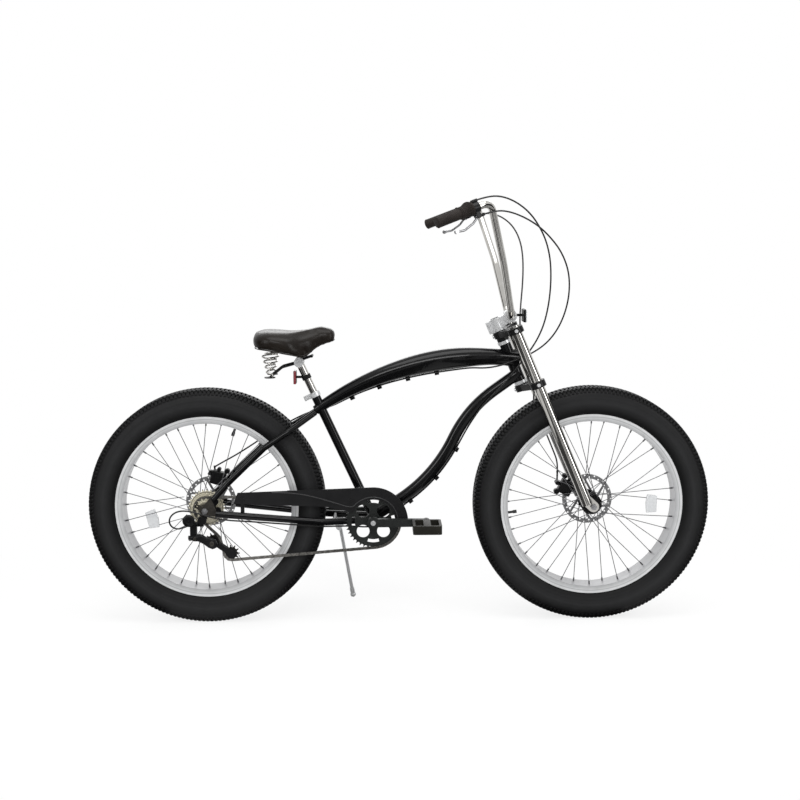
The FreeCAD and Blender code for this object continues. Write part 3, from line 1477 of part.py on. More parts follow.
ring_phase, tension_phase, guide_phase, cog_phase = sprocket_phases
ring_root = pitch_radius(chainring_teeth) - roller_radius
chainring = sprocket(chainring_teeth, ring_phase, chain_line)
cuts = []
for index in range(chainring_hole_count):
    turn = chainring_hole_turn + index * 360.0 / chainring_hole_count
    spot = Vector(chainring_hole_circle, chain_line - cut_overrun, 0)
    cuts.append(turned(rod(spot, spot + Y_AXIS * cut_overrun * 2, chainring_hole_radius), turn))
    window = cheese(ring_root - chainring_rim, chainring_window_inner, chain_line - cut_overrun,
                    cut_overrun * 2)
    wedge = []
    for edge in (-chainring_window_half, chainring_window_half):
        angle = math.radians(edge)
        wedge.append(Vector(math.cos(angle), 0, math.sin(angle)) * (ring_root * 2))
    corners = [Vector(0, 0, 0)] + wedge
    fan = moved(slab(Part.makePolygon(corners + corners[:1]), cut_overrun * 4),
                Y_AXIS * (chain_line - cut_overrun * 2))
    cuts.append(turned(window.common(fan), index * 360.0 / chainring_hole_count))
cuts.append(rod(Y_AXIS * (chain_line - cut_overrun), Y_AXIS * (chain_line + cut_overrun), spindle_radius))
chainring = moved(chainring.cut(cuts), bracket_point)
save("chainring", chainring)

# Crank arms, spindle, bolts and pedals
crank_end_right = bracket_point + X_AXIS * crank_length
crank_end_left = bracket_point - X_AXIS * crank_length


def crank_arm(direction, side):
    """A tapered arm with a boss at each end; the right one reaches in to the chainring."""
    inner = Y_AXIS * crank_inner * side
    thick = Y_AXIS * crank_thickness * side
    end = bracket_point + X_AXIS * crank_length * direction
    shapes = [rod(end + inner, end + inner + thick, crank_end_radius)]
    half = crank_width / 2
    taper = crank_end_radius - cut_overrun
    corners = [
        bracket_point + inner + Z_AXIS * half, end + inner + Z_AXIS * taper,
        end + inner - Z_AXIS * taper, bracket_point + inner - Z_AXIS * half,
    ]
    shapes.append(Part.Face(Part.makePolygon(corners + corners[:1])).extrude(thick))
    root = Y_AXIS * (abs(chain_line) + tooth_thickness / 2) if side < 0 else Y_AXIS * (crank_inner
                                                                                       - bracket_flange)
    shapes.append(rod(bracket_point + root * side, bracket_point + inner + thick, crank_boss_radius))
    arm = shapes[-1].fuse(shapes[:-1]).removeSplitter()
    bore = rod(bracket_point, bracket_point + inner * 2, spindle_radius)
    return arm.cut([bore, rod(end, end + inner * 2, pedal_axle_radius)])


save("crank_arms", crank_arm(1, -1), crank_arm(-1, 1))
spindle_end = Y_AXIS * (crank_inner + crank_thickness)
spindle = rod(bracket_point - spindle_end, bracket_point + spindle_end, spindle_radius)
spindle_solids = [spindle]
pedal_reach = crank_inner + crank_thickness + pedal_gap
for side, end in ((-1, crank_end_right), (1, crank_end_left)):
    face = bracket_point + spindle_end * side
    spindle_solids.append(rod(face, face + Y_AXIS * crank_bolt_length * side, crank_bolt_radius))
    start = end + Y_AXIS * crank_inner * side
    collar_start = end + Y_AXIS * (crank_inner + crank_thickness) * side
    collar_end = end + Y_AXIS * (pedal_reach - running_fit * 4) * side
    pedal_axle = rod(start, end + Y_AXIS * (pedal_reach + pedal_width * pedal_axle_share) * side,
                     pedal_axle_radius)
    spindle_solids.append(pedal_axle.fuse(rod(collar_start, collar_end,
                                              pedal_axle_radius * pedal_collar_share)).removeSplitter())
save("crank_spindle", *spindle_solids)


def pedal(end, side):
    """A platform with front and rear cages, end plates and a bored boss."""
    start = end + Y_AXIS * pedal_reach * side
    middle = start + Y_AXIS * (pedal_width / 2) * side
    outline = block(middle, X_AXIS, Y_AXIS, (pedal_length, pedal_width, pedal_thickness))
    upright = [edge for edge in outline.Edges if abs(edge.tangentAt(edge.FirstParameter).z) > upright_share]
    outline = outline.makeFillet(pedal_corner, upright)
    opening = (pedal_length - pedal_wall * 2) / 2 - pedal_boss_radius
    holes = []
    for direction in (1, -1):
        centre = middle + X_AXIS * (pedal_boss_radius + opening / 2) * direction
        holes.append(block(centre, X_AXIS, Y_AXIS,
                           (opening, pedal_width - pedal_wall * pedal_wall_share, pedal_thickness * 2)))
    bore = rod(start - Y_AXIS * side, start + Y_AXIS * (pedal_width * pedal_axle_share
                                                        + running_fit * 4) * side,
               pedal_axle_radius + running_fit)
    return outline.cut(holes + [bore])


save("right_pedal", pedal(crank_end_right, -1))
save("left_pedal", pedal(crank_end_left, 1))

# Freewheel: seven cogs on a body that turns on the rear hub
drive_index = cog_teeth.index(drive_cog_teeth)
cog_places = [chain_line - (index - drive_index) * cog_spacing for index in range(len(cog_teeth))]
freewheel = []
for index, teeth in enumerate(cog_teeth):
    cog = sprocket(teeth, cog_phase, cog_places[index])
    bore = rod(Y_AXIS * (cog_places[index] - cut_overrun), Y_AXIS * (cog_places[index] + cut_overrun),
               freewheel_body_radius)
    freewheel.append(cog.cut(bore))
body_start = cog_places[0] + cog_spacing / 2
body_end = cog_places[-1] - tooth_thickness
freewheel.append(cheese(freewheel_body_radius, freewheel_seat_radius + running_fit, body_end, body_start
                        - body_end))
save("freewheel", *place_at(rear_axle_point, freewheel))


# Derailleur: mount, two links, carrier, cage and pulleys
def pulley(phase):
    """A toothed wheel with a bored hub."""
    wheel = sprocket(pulley_teeth, phase, chain_line)
    half = inner_link_gap / 2 + link_plate_thickness * 2 + link_gap
    boss = rod(Y_AXIS * (chain_line - half), Y_AXIS * (chain_line + half), pulley_hub_radius)
    return wheel.fuse(boss).removeSplitter().cut(
        rod(Y_AXIS * (chain_line - half * 2), Y_AXIS * (chain_line + half * 2), pulley_pin_radius
            + running_fit))


save("guide_pulley", moved(pulley(guide_phase), guide_point))
save("tension_pulley", moved(pulley(tension_phase), tension_point))
cage_inside = inner_link_gap / 2 + link_plate_thickness * 2 + link_gap + cage_plate_gap
cage_shapes = []
for side in (1, -1):
    start = Y_AXIS * (chain_line + cage_inside * side)
    thick = Y_AXIS * cage_plate_thickness * side
    ends = [rod(point + start, point + start + thick, cage_plate_radius)
            for point in (guide_point, tension_point)]
    strip = block((guide_point + tension_point) * 0.5 + start + thick * 0.5, tension_point - guide_point,
                  Y_AXIS,
                  (pulley_spacing, cage_plate_thickness, cage_plate_radius))
    cage_shapes += ends + [strip]
cage_reach = cage_inside + cage_plate_thickness
for point in (guide_point, tension_point):
    cage_shapes.append(rod(point + Y_AXIS * (chain_line - cage_reach), point
                           + Y_AXIS * (chain_line + cage_reach),
                           pulley_pin_radius))
carrier_face = chain_line - cage_reach
carrier_pin = rod(guide_point + Y_AXIS * carrier_face, guide_point
                  + Y_AXIS * (carrier_face - carrier_length), link_pivot_radius * 2)
cage = cage_shapes[0].fuse(cage_shapes[1:] + [carrier_pin]).removeSplitter()
save("derailleur_cage", cage)

upper_outer = Vector(mount_pivot_x, mount_pivot_side, mount_pivot_height)
upper_inner = upper_outer + Vector(0, link_offset_in, -link_offset_down)
link_vector = Vector(0, -link_length_out, -link_length_down)
lower_outer = upper_outer + link_vector
lower_inner = upper_inner + link_vector
link_half = X_AXIS * (link_width / 2)


def link(top, bottom):
    """A bar between two pins that run fore and aft."""
    ends = [rod(point - link_half, point + link_half, link_thickness) for point in (top, bottom)]
    bar = block((top + bottom) * 0.5, bottom - top, X_AXIS,
                (top.distanceToPoint(bottom), link_width, link_thickness))
    holes = [rod(point - link_half * 2, point + link_half * 2, link_pivot_radius + running_fit)
             for point in (top, bottom)]
    return bar.fuse(ends).removeSplitter().cut(holes)


save("derailleur_outer_link", link(upper_outer, lower_outer))
save("derailleur_inner_link", link(upper_inner, lower_inner))


def cheeks(first, second, reach):
    """Two plates fore and aft of the links with the pins through them."""
    shapes = []
    for direction in (1, -1):
        start = X_AXIS * (link_width / 2 + link_side_gap) * direction
        thick = X_AXIS * mount_cheek * direction
        shapes += [rod(point + start, point + start + thick, reach) for point in (first, second)]
        shapes.append(block((first + second) * 0.5 + start + thick * 0.5, second - first, X_AXIS,
                            (first.distanceToPoint(second), mount_cheek, reach * 2)))
    span = X_AXIS * (link_width / 2 + link_side_gap + mount_cheek)
    shapes += [rod(point - span, point + span, link_pivot_radius) for point in (first, second)]
    return shapes


hanger_point = rear_axle_point + Vector(-hanger_back, -rear_hub_width / 2, -hanger_drop)
mount_start = hanger_point - Y_AXIS * (dropout_thickness + skin_gap)
mount_end = mount_start - Y_AXIS * mount_length
cheek_radius = link_thickness + cut_overrun / 2
mount_shapes = cheeks(upper_outer, upper_inner, cheek_radius)
front_cheek = X_AXIS * (link_width / 2 + link_side_gap + mount_cheek / 2)
reach_point = (upper_outer + upper_inner) * 0.5 + front_cheek + X_AXIS * (mount_cheek / 2)
boss_middle = Vector(hanger_point.x, mount_end.y + mount_cheek, reach_point.z)
mount_shapes.append(block((reach_point + boss_middle) * 0.5, boss_middle - reach_point, Y_AXIS,
                          (reach_point.distanceToPoint(boss_middle) + cut_overrun, mount_cheek * 2,
                           cheek_radius * 2)))
mount_bolt = rod(hanger_point, mount_end, hanger_bolt_radius - skin_gap)
mount = rod(mount_start, mount_end, mount_radius).fuse(mount_shapes + [mount_bolt]).removeSplitter()
save("derailleur_mount", mount)
carrier_shapes = cheeks(lower_outer, lower_inner, cheek_radius)
carrier_start = guide_point + Y_AXIS * (carrier_face - running_fit * 2)
carrier_end = guide_point + Y_AXIS * (carrier_face - carrier_length)
carrier_boss = rod(carrier_start, carrier_end, carrier_radius)
lower_reach = (lower_outer + lower_inner) * 0.5 + front_cheek + X_AXIS * (mount_cheek / 2)
boss_side = Vector(guide_point.x, carrier_end.y + carrier_length / 2, guide_point.z)
carrier_arm = block((lower_reach + boss_side) * 0.5, boss_side - lower_reach, Y_AXIS,
                    (lower_reach.distanceToPoint(boss_side), mount_cheek * 2, cheek_radius * mount_arm_share))
carrier = carrier_boss.fuse(carrier_shapes + [carrier_arm]).removeSplitter()
carrier = carrier.cut(rod(guide_point + Y_AXIS * carrier_face, guide_point
                          + Y_AXIS * (carrier_face - carrier_length * 2),
                          link_pivot_radius * 2 + running_fit))
save("derailleur_carrier", carrier)


# Chain guard: a long plate that sweeps into a ring over the chainring
def guard_outline(inset):
    """The guard's edge, drawn in by an inset."""
    outer = guard_outer_radius - inset
    inner = guard_inner_radius + inset
    tip = math.radians(guard_tip_angle)
    top = bracket_point + Z_AXIS * outer
    tip_out = bracket_point + Vector(math.cos(tip), 0, math.sin(tip)) * outer
    tip_in = bracket_point + Vector(math.cos(tip), 0, math.sin(tip)) * inner
    arc_middle = bracket_point + Vector(math.sqrt(0.5), 0, math.sqrt(0.5)) * outer
    low_front = guard_low_front + Z_AXIS * inset
    away = low_front - bracket_point
    inner_start = bracket_point + offset(away, inner)
    inner_middle = bracket_point + offset(offset(away, inner) + (tip_in - bracket_point), inner)
    rear_high = guard_rear_high + Vector(inset, 0, -inset)
    rear_low = guard_rear_low + Vector(inset, 0, inset)
    low_middle = guard_low_middle + Z_AXIS * inset
    return Part.Wire([
        Part.LineSegment(rear_high, top).toShape(),
        Part.Arc(top, arc_middle, tip_out).toShape(),
        Part.LineSegment(tip_out, tip_in).toShape(),
        Part.Arc(tip_in, inner_middle, inner_start).toShape(),
        Part.LineSegment(inner_start, low_middle).toShape(),
        Part.LineSegment(low_middle, rear_low).toShape(),
        Part.LineSegment(rear_low, rear_high).toShape(),
    ])


guard_plate = moved(slab(guard_outline(0), guard_thickness), Y_AXIS * (guard_place - guard_thickness))
tab_top = Vector(guard_rear_screw.x, guard_place - guard_thickness / 2, guard_rear_screw.z)
tab_low = Vector(tab_top.x, tab_top.y, chain_stay_end.z - chain_stay_radius / 2)
guard_tab = block((tab_top + tab_low) * 0.5, Z_AXIS, Y_AXIS,
                  (tab_top.z - tab_low.z, guard_thickness * guard_tab_share,
                   guard_tab_width)).cut(stay_fill[1])
guard_tab = max(guard_tab.Solids, key=lambda solid: solid.BoundBox.ZMax)
stay_x = bracket_point.x + seat_up.x * (guard_stay_height - bracket_point.z) / seat_up.z
guard_stay = rod(Vector(stay_x, guard_place, guard_stay_height), Vector(stay_x, 0, guard_stay_height),
                 guard_stay_radius)
guard_stay = guard_stay.cut(seat_outer)
guard = guard_plate.fuse([guard_tab, guard_stay]).removeSplitter()
screws = []
guard_front_screw = bracket_point + Vector(-guard_outer_radius * guard_screw_share, 0,
                                           guard_outer_radius * guard_screw_share)
for spot in (guard_rear_screw, guard_front_screw):
    face = Vector(spot.x, guard_place - guard_thickness, spot.z)
    screws.append(rod(face, face - Y_AXIS * guard_screw_height, guard_screw_radius))
save("chain_guard", guard, *screws)


# Brake calipers with their arms
def caliper(axle_point, rotor_place, radius, angle, mount_point, mount_radius_size):
    """A body astride the rotor with a round cable arm seat, and a bracket to what carries it."""
    turn = math.radians(angle)
    out = Vector(math.cos(turn), 0, math.sin(turn))
    centre = axle_point + out * radius + Y_AXIS * (rotor_place + rotor_thickness / 2)
    width = caliper_inner + caliper_outer
    middle = centre + Y_AXIS * ((caliper_outer - caliper_inner) / 2)
    body = block(middle, out, Y_AXIS, (caliper_depth, width, caliper_height))
    body = body.makeFillet(caliper_corner * 0.5, body.Edges)
    slot = block(centre - out * (caliper_depth * caliper_bridge_share), out, Y_AXIS,
                 (caliper_depth * caliper_slot_share, rotor_thickness + caliper_slot_gap * 2,
                  caliper_height * 2))
    seat = centre + Y_AXIS * caliper_outer
    pivot = rod(seat, seat + Y_AXIS * caliper_pivot_length, caliper_pivot_radius * caliper_post_share)
    start = Vector(mount_point.x, seat.y - caliper_outer * 0.5, mount_point.z)
    bracket = rod(seat - Y_AXIS * (caliper_outer * 0.5), start, caliper_tab_radius)
    tab = rod(start, mount_point, mount_radius_size)
    return body.fuse([bracket, tab]).cut(slot).fuse(pivot).removeSplitter(), seat, out


def caliper_arm(seat, direction):
    """A lever on the caliper's post, towards the cable."""
    start = seat + Y_AXIS * caliper_arm_gap
    thick = Y_AXIS * caliper_arm_thickness
    end = start + offset(direction, caliper_arm_length)
    hub_disc = rod(start, start + thick, caliper_pivot_radius)
    tip_disc = rod(end, end + thick, caliper_arm_width / 2)
    bar = block((start + end) * 0.5 + thick * 0.5, end - start, Y_AXIS,
                (caliper_arm_length, caliper_arm_thickness, caliper_arm_width))
    bore = rod(seat - thick, seat + thick * 3, caliper_pivot_radius * caliper_post_share + running_fit)
    return hub_disc.fuse([tip_disc, bar]).removeSplitter().cut(bore)


left_leg_line = steer_point(leg_bottom + fork_lug_radius * 4, leg_offset, clamp_leg_spacing)
front_caliper, front_seat, front_out = caliper(
    front_axle_point, front_rotor_place, front_caliper_radius, front_caliper_angle, left_leg_line,
    caliper_tab_radius)
front_caliper = front_caliper.cut(legs[0])
front_caliper = max(front_caliper.Solids, key=lambda solid: solid.Volume)
save("front_caliper", front_caliper)
save("front_caliper_arm", caliper_arm(front_seat, front_out))
stay_mount = (seat_stay_low + seat_stay_end) * 0.5
rear_caliper, rear_seat, rear_out = caliper(
    rear_axle_point, rear_rotor_place, rear_caliper_radius, rear_caliper_angle, stay_mount,
    caliper_tab_radius)
stay_solid = pipe([seat_stay_middle, seat_stay_low, seat_stay_end], [stay_bend * 2], stay_radius)
rear_caliper = rear_caliper.cut([stay_solid, left_chain_stay])
rear_caliper = max(rear_caliper.Solids, key=lambda solid: solid.Volume)
save("rear_caliper", rear_caliper)
save("rear_caliper_arm", caliper_arm(rear_seat, Vector(-rear_out.z, 0, rear_out.x)))

# Kickstand: a bracket under the left chain stay, and a leg on a slanted pin
stand_line = stand_foot - stand_pivot
stand_axis = stand_line.cross(stand_fold).normalize()
stand_hub_half = stand_axis * (stand_hub_length / 2)
leg_end = stand_foot - offset(stand_line, stand_foot_length)
stand_leg = rod(stand_pivot, stand_foot, stand_leg_radius)
stand_leg = stand_leg.fuse([rod(stand_pivot - stand_hub_half, stand_pivot + stand_hub_half, stand_hub_radius),
                            rod(leg_end, stand_foot, stand_foot_radius * stand_foot_share),
                            Part.makeSphere(stand_foot_radius, stand_foot)])
stand_leg = stand_leg.removeSplitter().cut(
    rod(stand_pivot - stand_hub_half * 2, stand_pivot + stand_hub_half * 2, stand_pin_radius + running_fit))
save("kickstand_leg", stand_leg)
cheek_start = stand_hub_length / 2 + stand_cheek_gap
cheek_plates = []
for side in (1, -1):
    start = stand_pivot + stand_axis * cheek_start * side
    cheek_plates.append(rod(start, start + stand_axis * stand_cheek * side, stand_hub_radius))
    root = start + stand_axis * (stand_cheek / 2 * side)
    lift = Vector(0, 0, 1) - stand_axis * stand_axis.z
    head = root + offset(lift, stand_hub_radius * stand_head_share)
    cheek_plates.append(block((root + head) * 0.5, head - root, stand_axis,
                              (root.distanceToPoint(head), stand_cheek, stand_hub_radius * 2)))
pin_half = stand_axis * (cheek_start + stand_cheek)
stand_pin = rod(stand_pivot - pin_half, stand_pivot + pin_half, stand_pin_radius)
roof_centre = stand_pivot + offset(Vector(0, 0, 1) - stand_axis * stand_axis.z,
                                   stand_hub_radius * stand_roof_share)
roof = block(roof_centre, stand_axis, Z_AXIS, (cheek_start * 2 + stand_cheek * 2, stand_hub_radius,
                                               stand_hub_radius * 2))
bracket = roof.fuse(cheek_plates + [stand_pin]).removeSplitter().cut(stay_fill)
bracket = max(bracket.Solids, key=lambda solid: solid.Volume)
save("kickstand_bracket", bracket)


# Saddle: cushion, rails with their clamp, and coil springs
def saddle_section(x, half, bottom, top):
    """A crowned section with drawn-in sides and a flat underside."""
    height = top - bottom
    shoulder = bottom + height * saddle_crown_share
    tuck = half * (1 - saddle_side_share * 2)
    corners = [Vector(x, -tuck, bottom), Vector(x, tuck, bottom), Vector(x, half, shoulder),
               Vector(x, -half, shoulder)]
    bulge = half * (1 + saddle_side_share * saddle_bulge_share)
    side_height = (bottom + shoulder) / 2
    crown_side = half * crown_side_share
    crown_height = top - height * crown_drop_share
    return Part.Wire([
        Part.LineSegment(corners[0], corners[1]).toShape(),
        Part.Arc(corners[1], Vector(x, bulge * side_arc_share, side_height), corners[2]).toShape(),
        Part.Arc(corners[2], Vector(x, half * brow_side_share, shoulder
                                    + (crown_height - shoulder) * brow_rise_share),
                 Vector(x, crown_side, crown_height)).toShape(),
        Part.Arc(Vector(x, crown_side, crown_height), Vector(x, 0, top),
                 Vector(x, -crown_side, crown_height)).toShape(),
        Part.Arc(Vector(x, -crown_side, crown_height),
                 Vector(x, -half * brow_side_share, shoulder + (crown_height - shoulder) * brow_rise_share),
                 corners[3]).toShape(),
        Part.Arc(corners[3], Vector(x, -bulge * side_arc_share, side_height), corners[0]).toShape(),
    ])


sections = [saddle_section(*values) for values in zip(saddle_stations, saddle_half_widths, saddle_bottoms,
                                                      saddle_tops)]
padding = Part.makeLoft(sections, True, False)
nose_height = saddle_bottoms[5] - nose_pin_drop
nose_point = Vector(rail_front_x, 0, nose_height)
lugs = []
for side in (1, -1):
    inner = nose_point + Y_AXIS * nose_lug_inner * side
    outer = inner + Y_AXIS * nose_lug_width * side
    lugs.append(rod(inner, outer, nose_lug_radius))
    lift = Z_AXIS * (nose_pin_drop + nose_lug_radius)
    lugs.append(block((inner + outer) * 0.5 + lift * 0.5, Z_AXIS, Y_AXIS,
                      (lift.Length, nose_lug_width, nose_lug_radius * 2)))
nose_half = Y_AXIS * nose_pin_half
pin_hole = rod(nose_point - nose_half, nose_point + nose_half, nose_pin_radius + running_fit)
cushion = padding.fuse(lugs).removeSplitter().cut(pin_hole)
save("saddle_cushion", cushion)

spring_plate_top = spring_foot_height - spring_wire_radius
clamp_centre = post_high
rail_height = post_high.z


def rail(side):
    """One wire from the rear spring plate, past the clamp, to the nose."""
    points = [
        Vector(rail_rear_x, rail_rear_spread * side, spring_plate_top - spring_plate_thickness / 2),
        Vector(rail_rear_x + rail_bend * rail_rear_share, rail_spread * side * rail_wide_share, rail_height
               - rail_bend),
        Vector(clamp_centre.x, rail_spread * side, rail_height),
        Vector(rail_front_x - rail_bend * 2, rail_spread * side * rail_narrow_share,
               (rail_height + nose_height) / 2),
        Vector(rail_front_x, rail_spread * side * 0.5, nose_height),
    ]
    return pipe(points, [rail_bend, rail_bend * 3, rail_bend], rail_radius)


rails = [rail(1), rail(-1)]
plates = []
for side in (1, -1):
    base = Vector(rail_rear_x, rail_rear_spread * side, spring_plate_top - spring_plate_thickness)
    plates.append(rod(base, base + Z_AXIS * spring_plate_thickness, spring_plate_radius))
cross = rod(Vector(rail_rear_x, -rail_rear_spread, spring_plate_top - spring_plate_thickness / 2),
            Vector(rail_rear_x, rail_rear_spread, spring_plate_top - spring_plate_thickness / 2), rail_radius)
jaws = []
for side in (1, -1):
    jaws.append(rod(clamp_centre + Y_AXIS * post_clamp_inner * side, clamp_centre
                    + Y_AXIS * post_clamp_outer * side,
                    post_clamp_radius))
nose_pin = rod(nose_point - nose_half, nose_point + nose_half, nose_pin_radius)
saddle_frame = rails[0].fuse([rails[1], cross, nose_pin] + plates + jaws).removeSplitter()
head_reach = Y_AXIS * (post_head_half + post_head_gap)
saddle_frame = saddle_frame.cut(rod(clamp_centre - head_reach, clamp_centre + head_reach, post_head_radius
                                    + running_fit))
save("saddle_frame", saddle_frame)


def spring(side):
    """A tapering coil from the rear plate to the cushion, with short straight ends."""
    base = Vector(rail_rear_x, rail_rear_spread * side, spring_plate_top)
    top_height = saddle_bottoms[2] + (saddle_bottoms[1] - saddle_bottoms[2]) * spring_seat_share
    steps = spring_turns * 4
    wire = spring_wire_radius * 2
    rise = (top_height - spring_plate_top - wire * 4) / steps
    points = []
    for index in range(steps + 1):
        share = index / steps
        radius = (spring_bottom_radius + (spring_top_radius - spring_bottom_radius) * share) * math.sqrt(2)
        angle = math.radians(spring_first_turn + spring_step_turn * index)
        height = spring_plate_top + wire * 2 + rise * index
        points.append(Vector(base.x + radius * math.cos(angle), base.y + radius * math.sin(angle) * side,
                             height))
    points.insert(0, Vector(points[0].x, points[0].y, spring_plate_top))
    points.append(Vector(points[-1].x, points[-1].y, top_height))
    bends = []
    for index in range(1, len(points) - 1):
        shorter = min(points[index].distanceToPoint(points[index - 1]),
                      points[index].distanceToPoint(points[index + 1]))
        half = (points[index - 1] - points[index]).getAngle(points[index + 1] - points[index]) / 2
        bends.append(shorter * spring_bend_share * math.tan(half))
    coil = pipe(points, bends, spring_wire_radius)
    line = Part.Wire(rounded_edges(points, [0] + bends + [0]))
    spots = line.discretize(Number=spring_samples)
    apart = spring_samples // (steps // 2)
    gaps = []
    for index, spot in enumerate(spots):
        gaps += [spot.distanceToPoint(other) - wire for other in spots[index + apart:]]
    print("spring gap to itself", round(min(gaps), 2), "bend radii", [round(bend, 1) for bend in bends])
    return coil.cut([cushion] + plates)


springs = []
for side in (1, -1):
    coil = spring(side)
    springs.append(max(coil.Solids, key=lambda solid: solid.Volume))
save("saddle_springs", *springs)


# Cables in housings: runs and tangent arcs as large as the runs allow
def cable(route, name):
    """A housing along a hand-chosen route."""
    points = [Vector(*place) for place in route]
    bends = []
    for index in range(1, len(points) - 1):
        shorter = min(points[index].distanceToPoint(points[index - 1]),
                      points[index].distanceToPoint(points[index + 1]))
        turn = math.pi - (points[index - 1] - points[index]).getAngle(points[index + 1] - points[index])
        bends.append(cable_radius_share * shorter / math.tan(turn / 2))
    body = pipe(points, bends, housing_radius)
    length = Part.Wire(rounded_edges(points, [0] + bends + [0])).Length
    section = math.pi * housing_radius * housing_radius
    print(name, "length", round(length), "volume share", round(body.Volume / (section * length), 4))
    print(name, "radii", [round(bend) for bend in bends])
    return body


save("front_brake_cable", cable(front_brake_route, "front brake"))
save("frame_cables", cable(rear_brake_route, "rear brake"), cable(shift_route, "shift"))
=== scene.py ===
import json
import math

import bpy
import bmesh
from mathutils import Matrix, Vector


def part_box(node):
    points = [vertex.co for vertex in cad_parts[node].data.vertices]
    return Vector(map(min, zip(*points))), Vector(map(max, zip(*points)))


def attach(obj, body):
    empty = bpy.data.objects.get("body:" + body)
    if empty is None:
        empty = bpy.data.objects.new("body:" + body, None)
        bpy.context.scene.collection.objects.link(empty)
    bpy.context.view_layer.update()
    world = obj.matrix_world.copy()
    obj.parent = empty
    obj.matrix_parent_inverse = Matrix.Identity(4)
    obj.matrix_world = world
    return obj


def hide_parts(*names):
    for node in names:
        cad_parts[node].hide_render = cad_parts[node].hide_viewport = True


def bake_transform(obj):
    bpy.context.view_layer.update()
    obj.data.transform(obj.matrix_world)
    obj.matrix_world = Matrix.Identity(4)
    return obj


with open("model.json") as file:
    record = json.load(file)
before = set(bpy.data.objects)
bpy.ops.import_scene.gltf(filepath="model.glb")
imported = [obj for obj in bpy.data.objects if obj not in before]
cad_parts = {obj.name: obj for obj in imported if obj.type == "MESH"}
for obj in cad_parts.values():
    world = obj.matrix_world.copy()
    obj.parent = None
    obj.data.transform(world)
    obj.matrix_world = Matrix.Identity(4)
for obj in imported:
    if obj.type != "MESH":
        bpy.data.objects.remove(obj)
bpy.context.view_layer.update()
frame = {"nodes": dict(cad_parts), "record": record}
nodes = frame["nodes"]
scene = bpy.context.scene

FRONT_AXLE = Vector((0.605, 0.0, 0.372))
REAR_AXLE = Vector((-0.605, 0.0, 0.372))


# Camera, set from the photograph's wheels and bar
camera_target = Vector((0.0025, 0.0, 0.7028))
camera_distance = 4.1008
camera_turn = math.radians(-1.1)
camera_rise = math.radians(7.34)
camera_roll = math.radians(-0.23)
back = Vector((
    math.sin(camera_turn) * math.cos(camera_rise),
    -math.cos(camera_turn) * math.cos(camera_rise),
    math.sin(camera_rise),
))
camera_data = bpy.data.cameras.new("camera")
camera_data.lens = 58.73
camera_data.sensor_width = 36.0
camera = bpy.data.objects.new("camera", camera_data)
scene.collection.objects.link(camera)
camera.location = camera_target + back * camera_distance
camera.rotation_mode = "QUATERNION"
camera.rotation_quaternion = (
    back.to_track_quat("Z", "Y") @ Matrix.Rotation(camera_roll, 3, "Z").to_quaternion()
)
scene.camera = camera


# Materials
def new_material(name):
    """A material with its shader, a maker of nodes and a link to one of the shader's sockets."""
    made = bpy.data.materials.new(name)
    made.use_nodes = True
    tree = made.node_tree
    shader = tree.nodes["Principled BSDF"]

    def add(kind, settings=(), **inputs):
        node = tree.nodes.new(kind)
        for key, value in settings:
            setattr(node, key, value)
        for key, value in inputs.items():
            by_index = key[0] == "i" and key[1:].isdigit()
            socket = node.inputs[int(key[1:]) if by_index else key]
            if isinstance(value, bpy.types.NodeSocket):
                tree.links.new(value, socket)
            else:
                socket.default_value = value
        return node

    def link(source, socket_name):
        tree.links.new(source, shader.inputs[socket_name])

    return made, shader, add, link


def colour(rgb):
    return (rgb[0], rgb[1], rgb[2], 1.0)


def object_place(add):
    """Object coordinates in metres."""
    return add("ShaderNodeTexCoord").outputs["Object"]


def two_tone(add, value, dark, light, dark_at, light_at):
    """A ramp from a dark to a light colour between two values."""
    ramp = add("ShaderNodeValToRGB", Fac=value)
    stops = ramp.color_ramp.elements
    for stop, at, rgb in ((stops[0], dark_at, dark), (stops[1], light_at, light)):
        stop.position = at
        stop.color = colour(rgb)
    return ramp.outputs["Color"]


def between(add, value, low, high):
    """A value from 0 to 1 spread from low to high."""
    return add("ShaderNodeMapRange", Value=value, **{"To Min": low, "To Max": high}).outputs[0]


def worn(name, dark, light, rough, metal=0.0, grain=900.0, cloud=14.0, relief=0.06, spread=0.08,
         coat=0.0, coat_rough=0.05, specular=0.5):
    """A surface with broad colour clouds, fine gloss variation and fine relief."""
    made, shader, add, link = new_material(name)
    here = object_place(add)
    broad = add("ShaderNodeTexNoise", Vector=here, Scale=cloud, Detail=4.0, Roughness=0.6)
    fine = add("ShaderNodeTexNoise", Vector=here, Scale=grain, Detail=3.0, Roughness=0.55)
    tone = two_tone(add, broad.outputs["Fac"], dark, light, dark_at=0.3, light_at=0.72)
    link(tone, "Base Color")
    smoothest, roughest = max(0.02, rough - spread), min(1.0, rough + spread)
    link(between(add, fine.outputs["Fac"], smoothest, roughest), "Roughness")
    bump = add("ShaderNodeBump", Height=fine.outputs["Fac"], Strength=relief, Distance=0.0006)
    link(bump.outputs[0], "Normal")
    shader.inputs["Metallic"].default_value = metal
    shader.inputs["Coat Weight"].default_value = coat
    shader.inputs["Coat Roughness"].default_value = coat_rough
    shader.inputs["Specular IOR Level"].default_value = specular
    return made


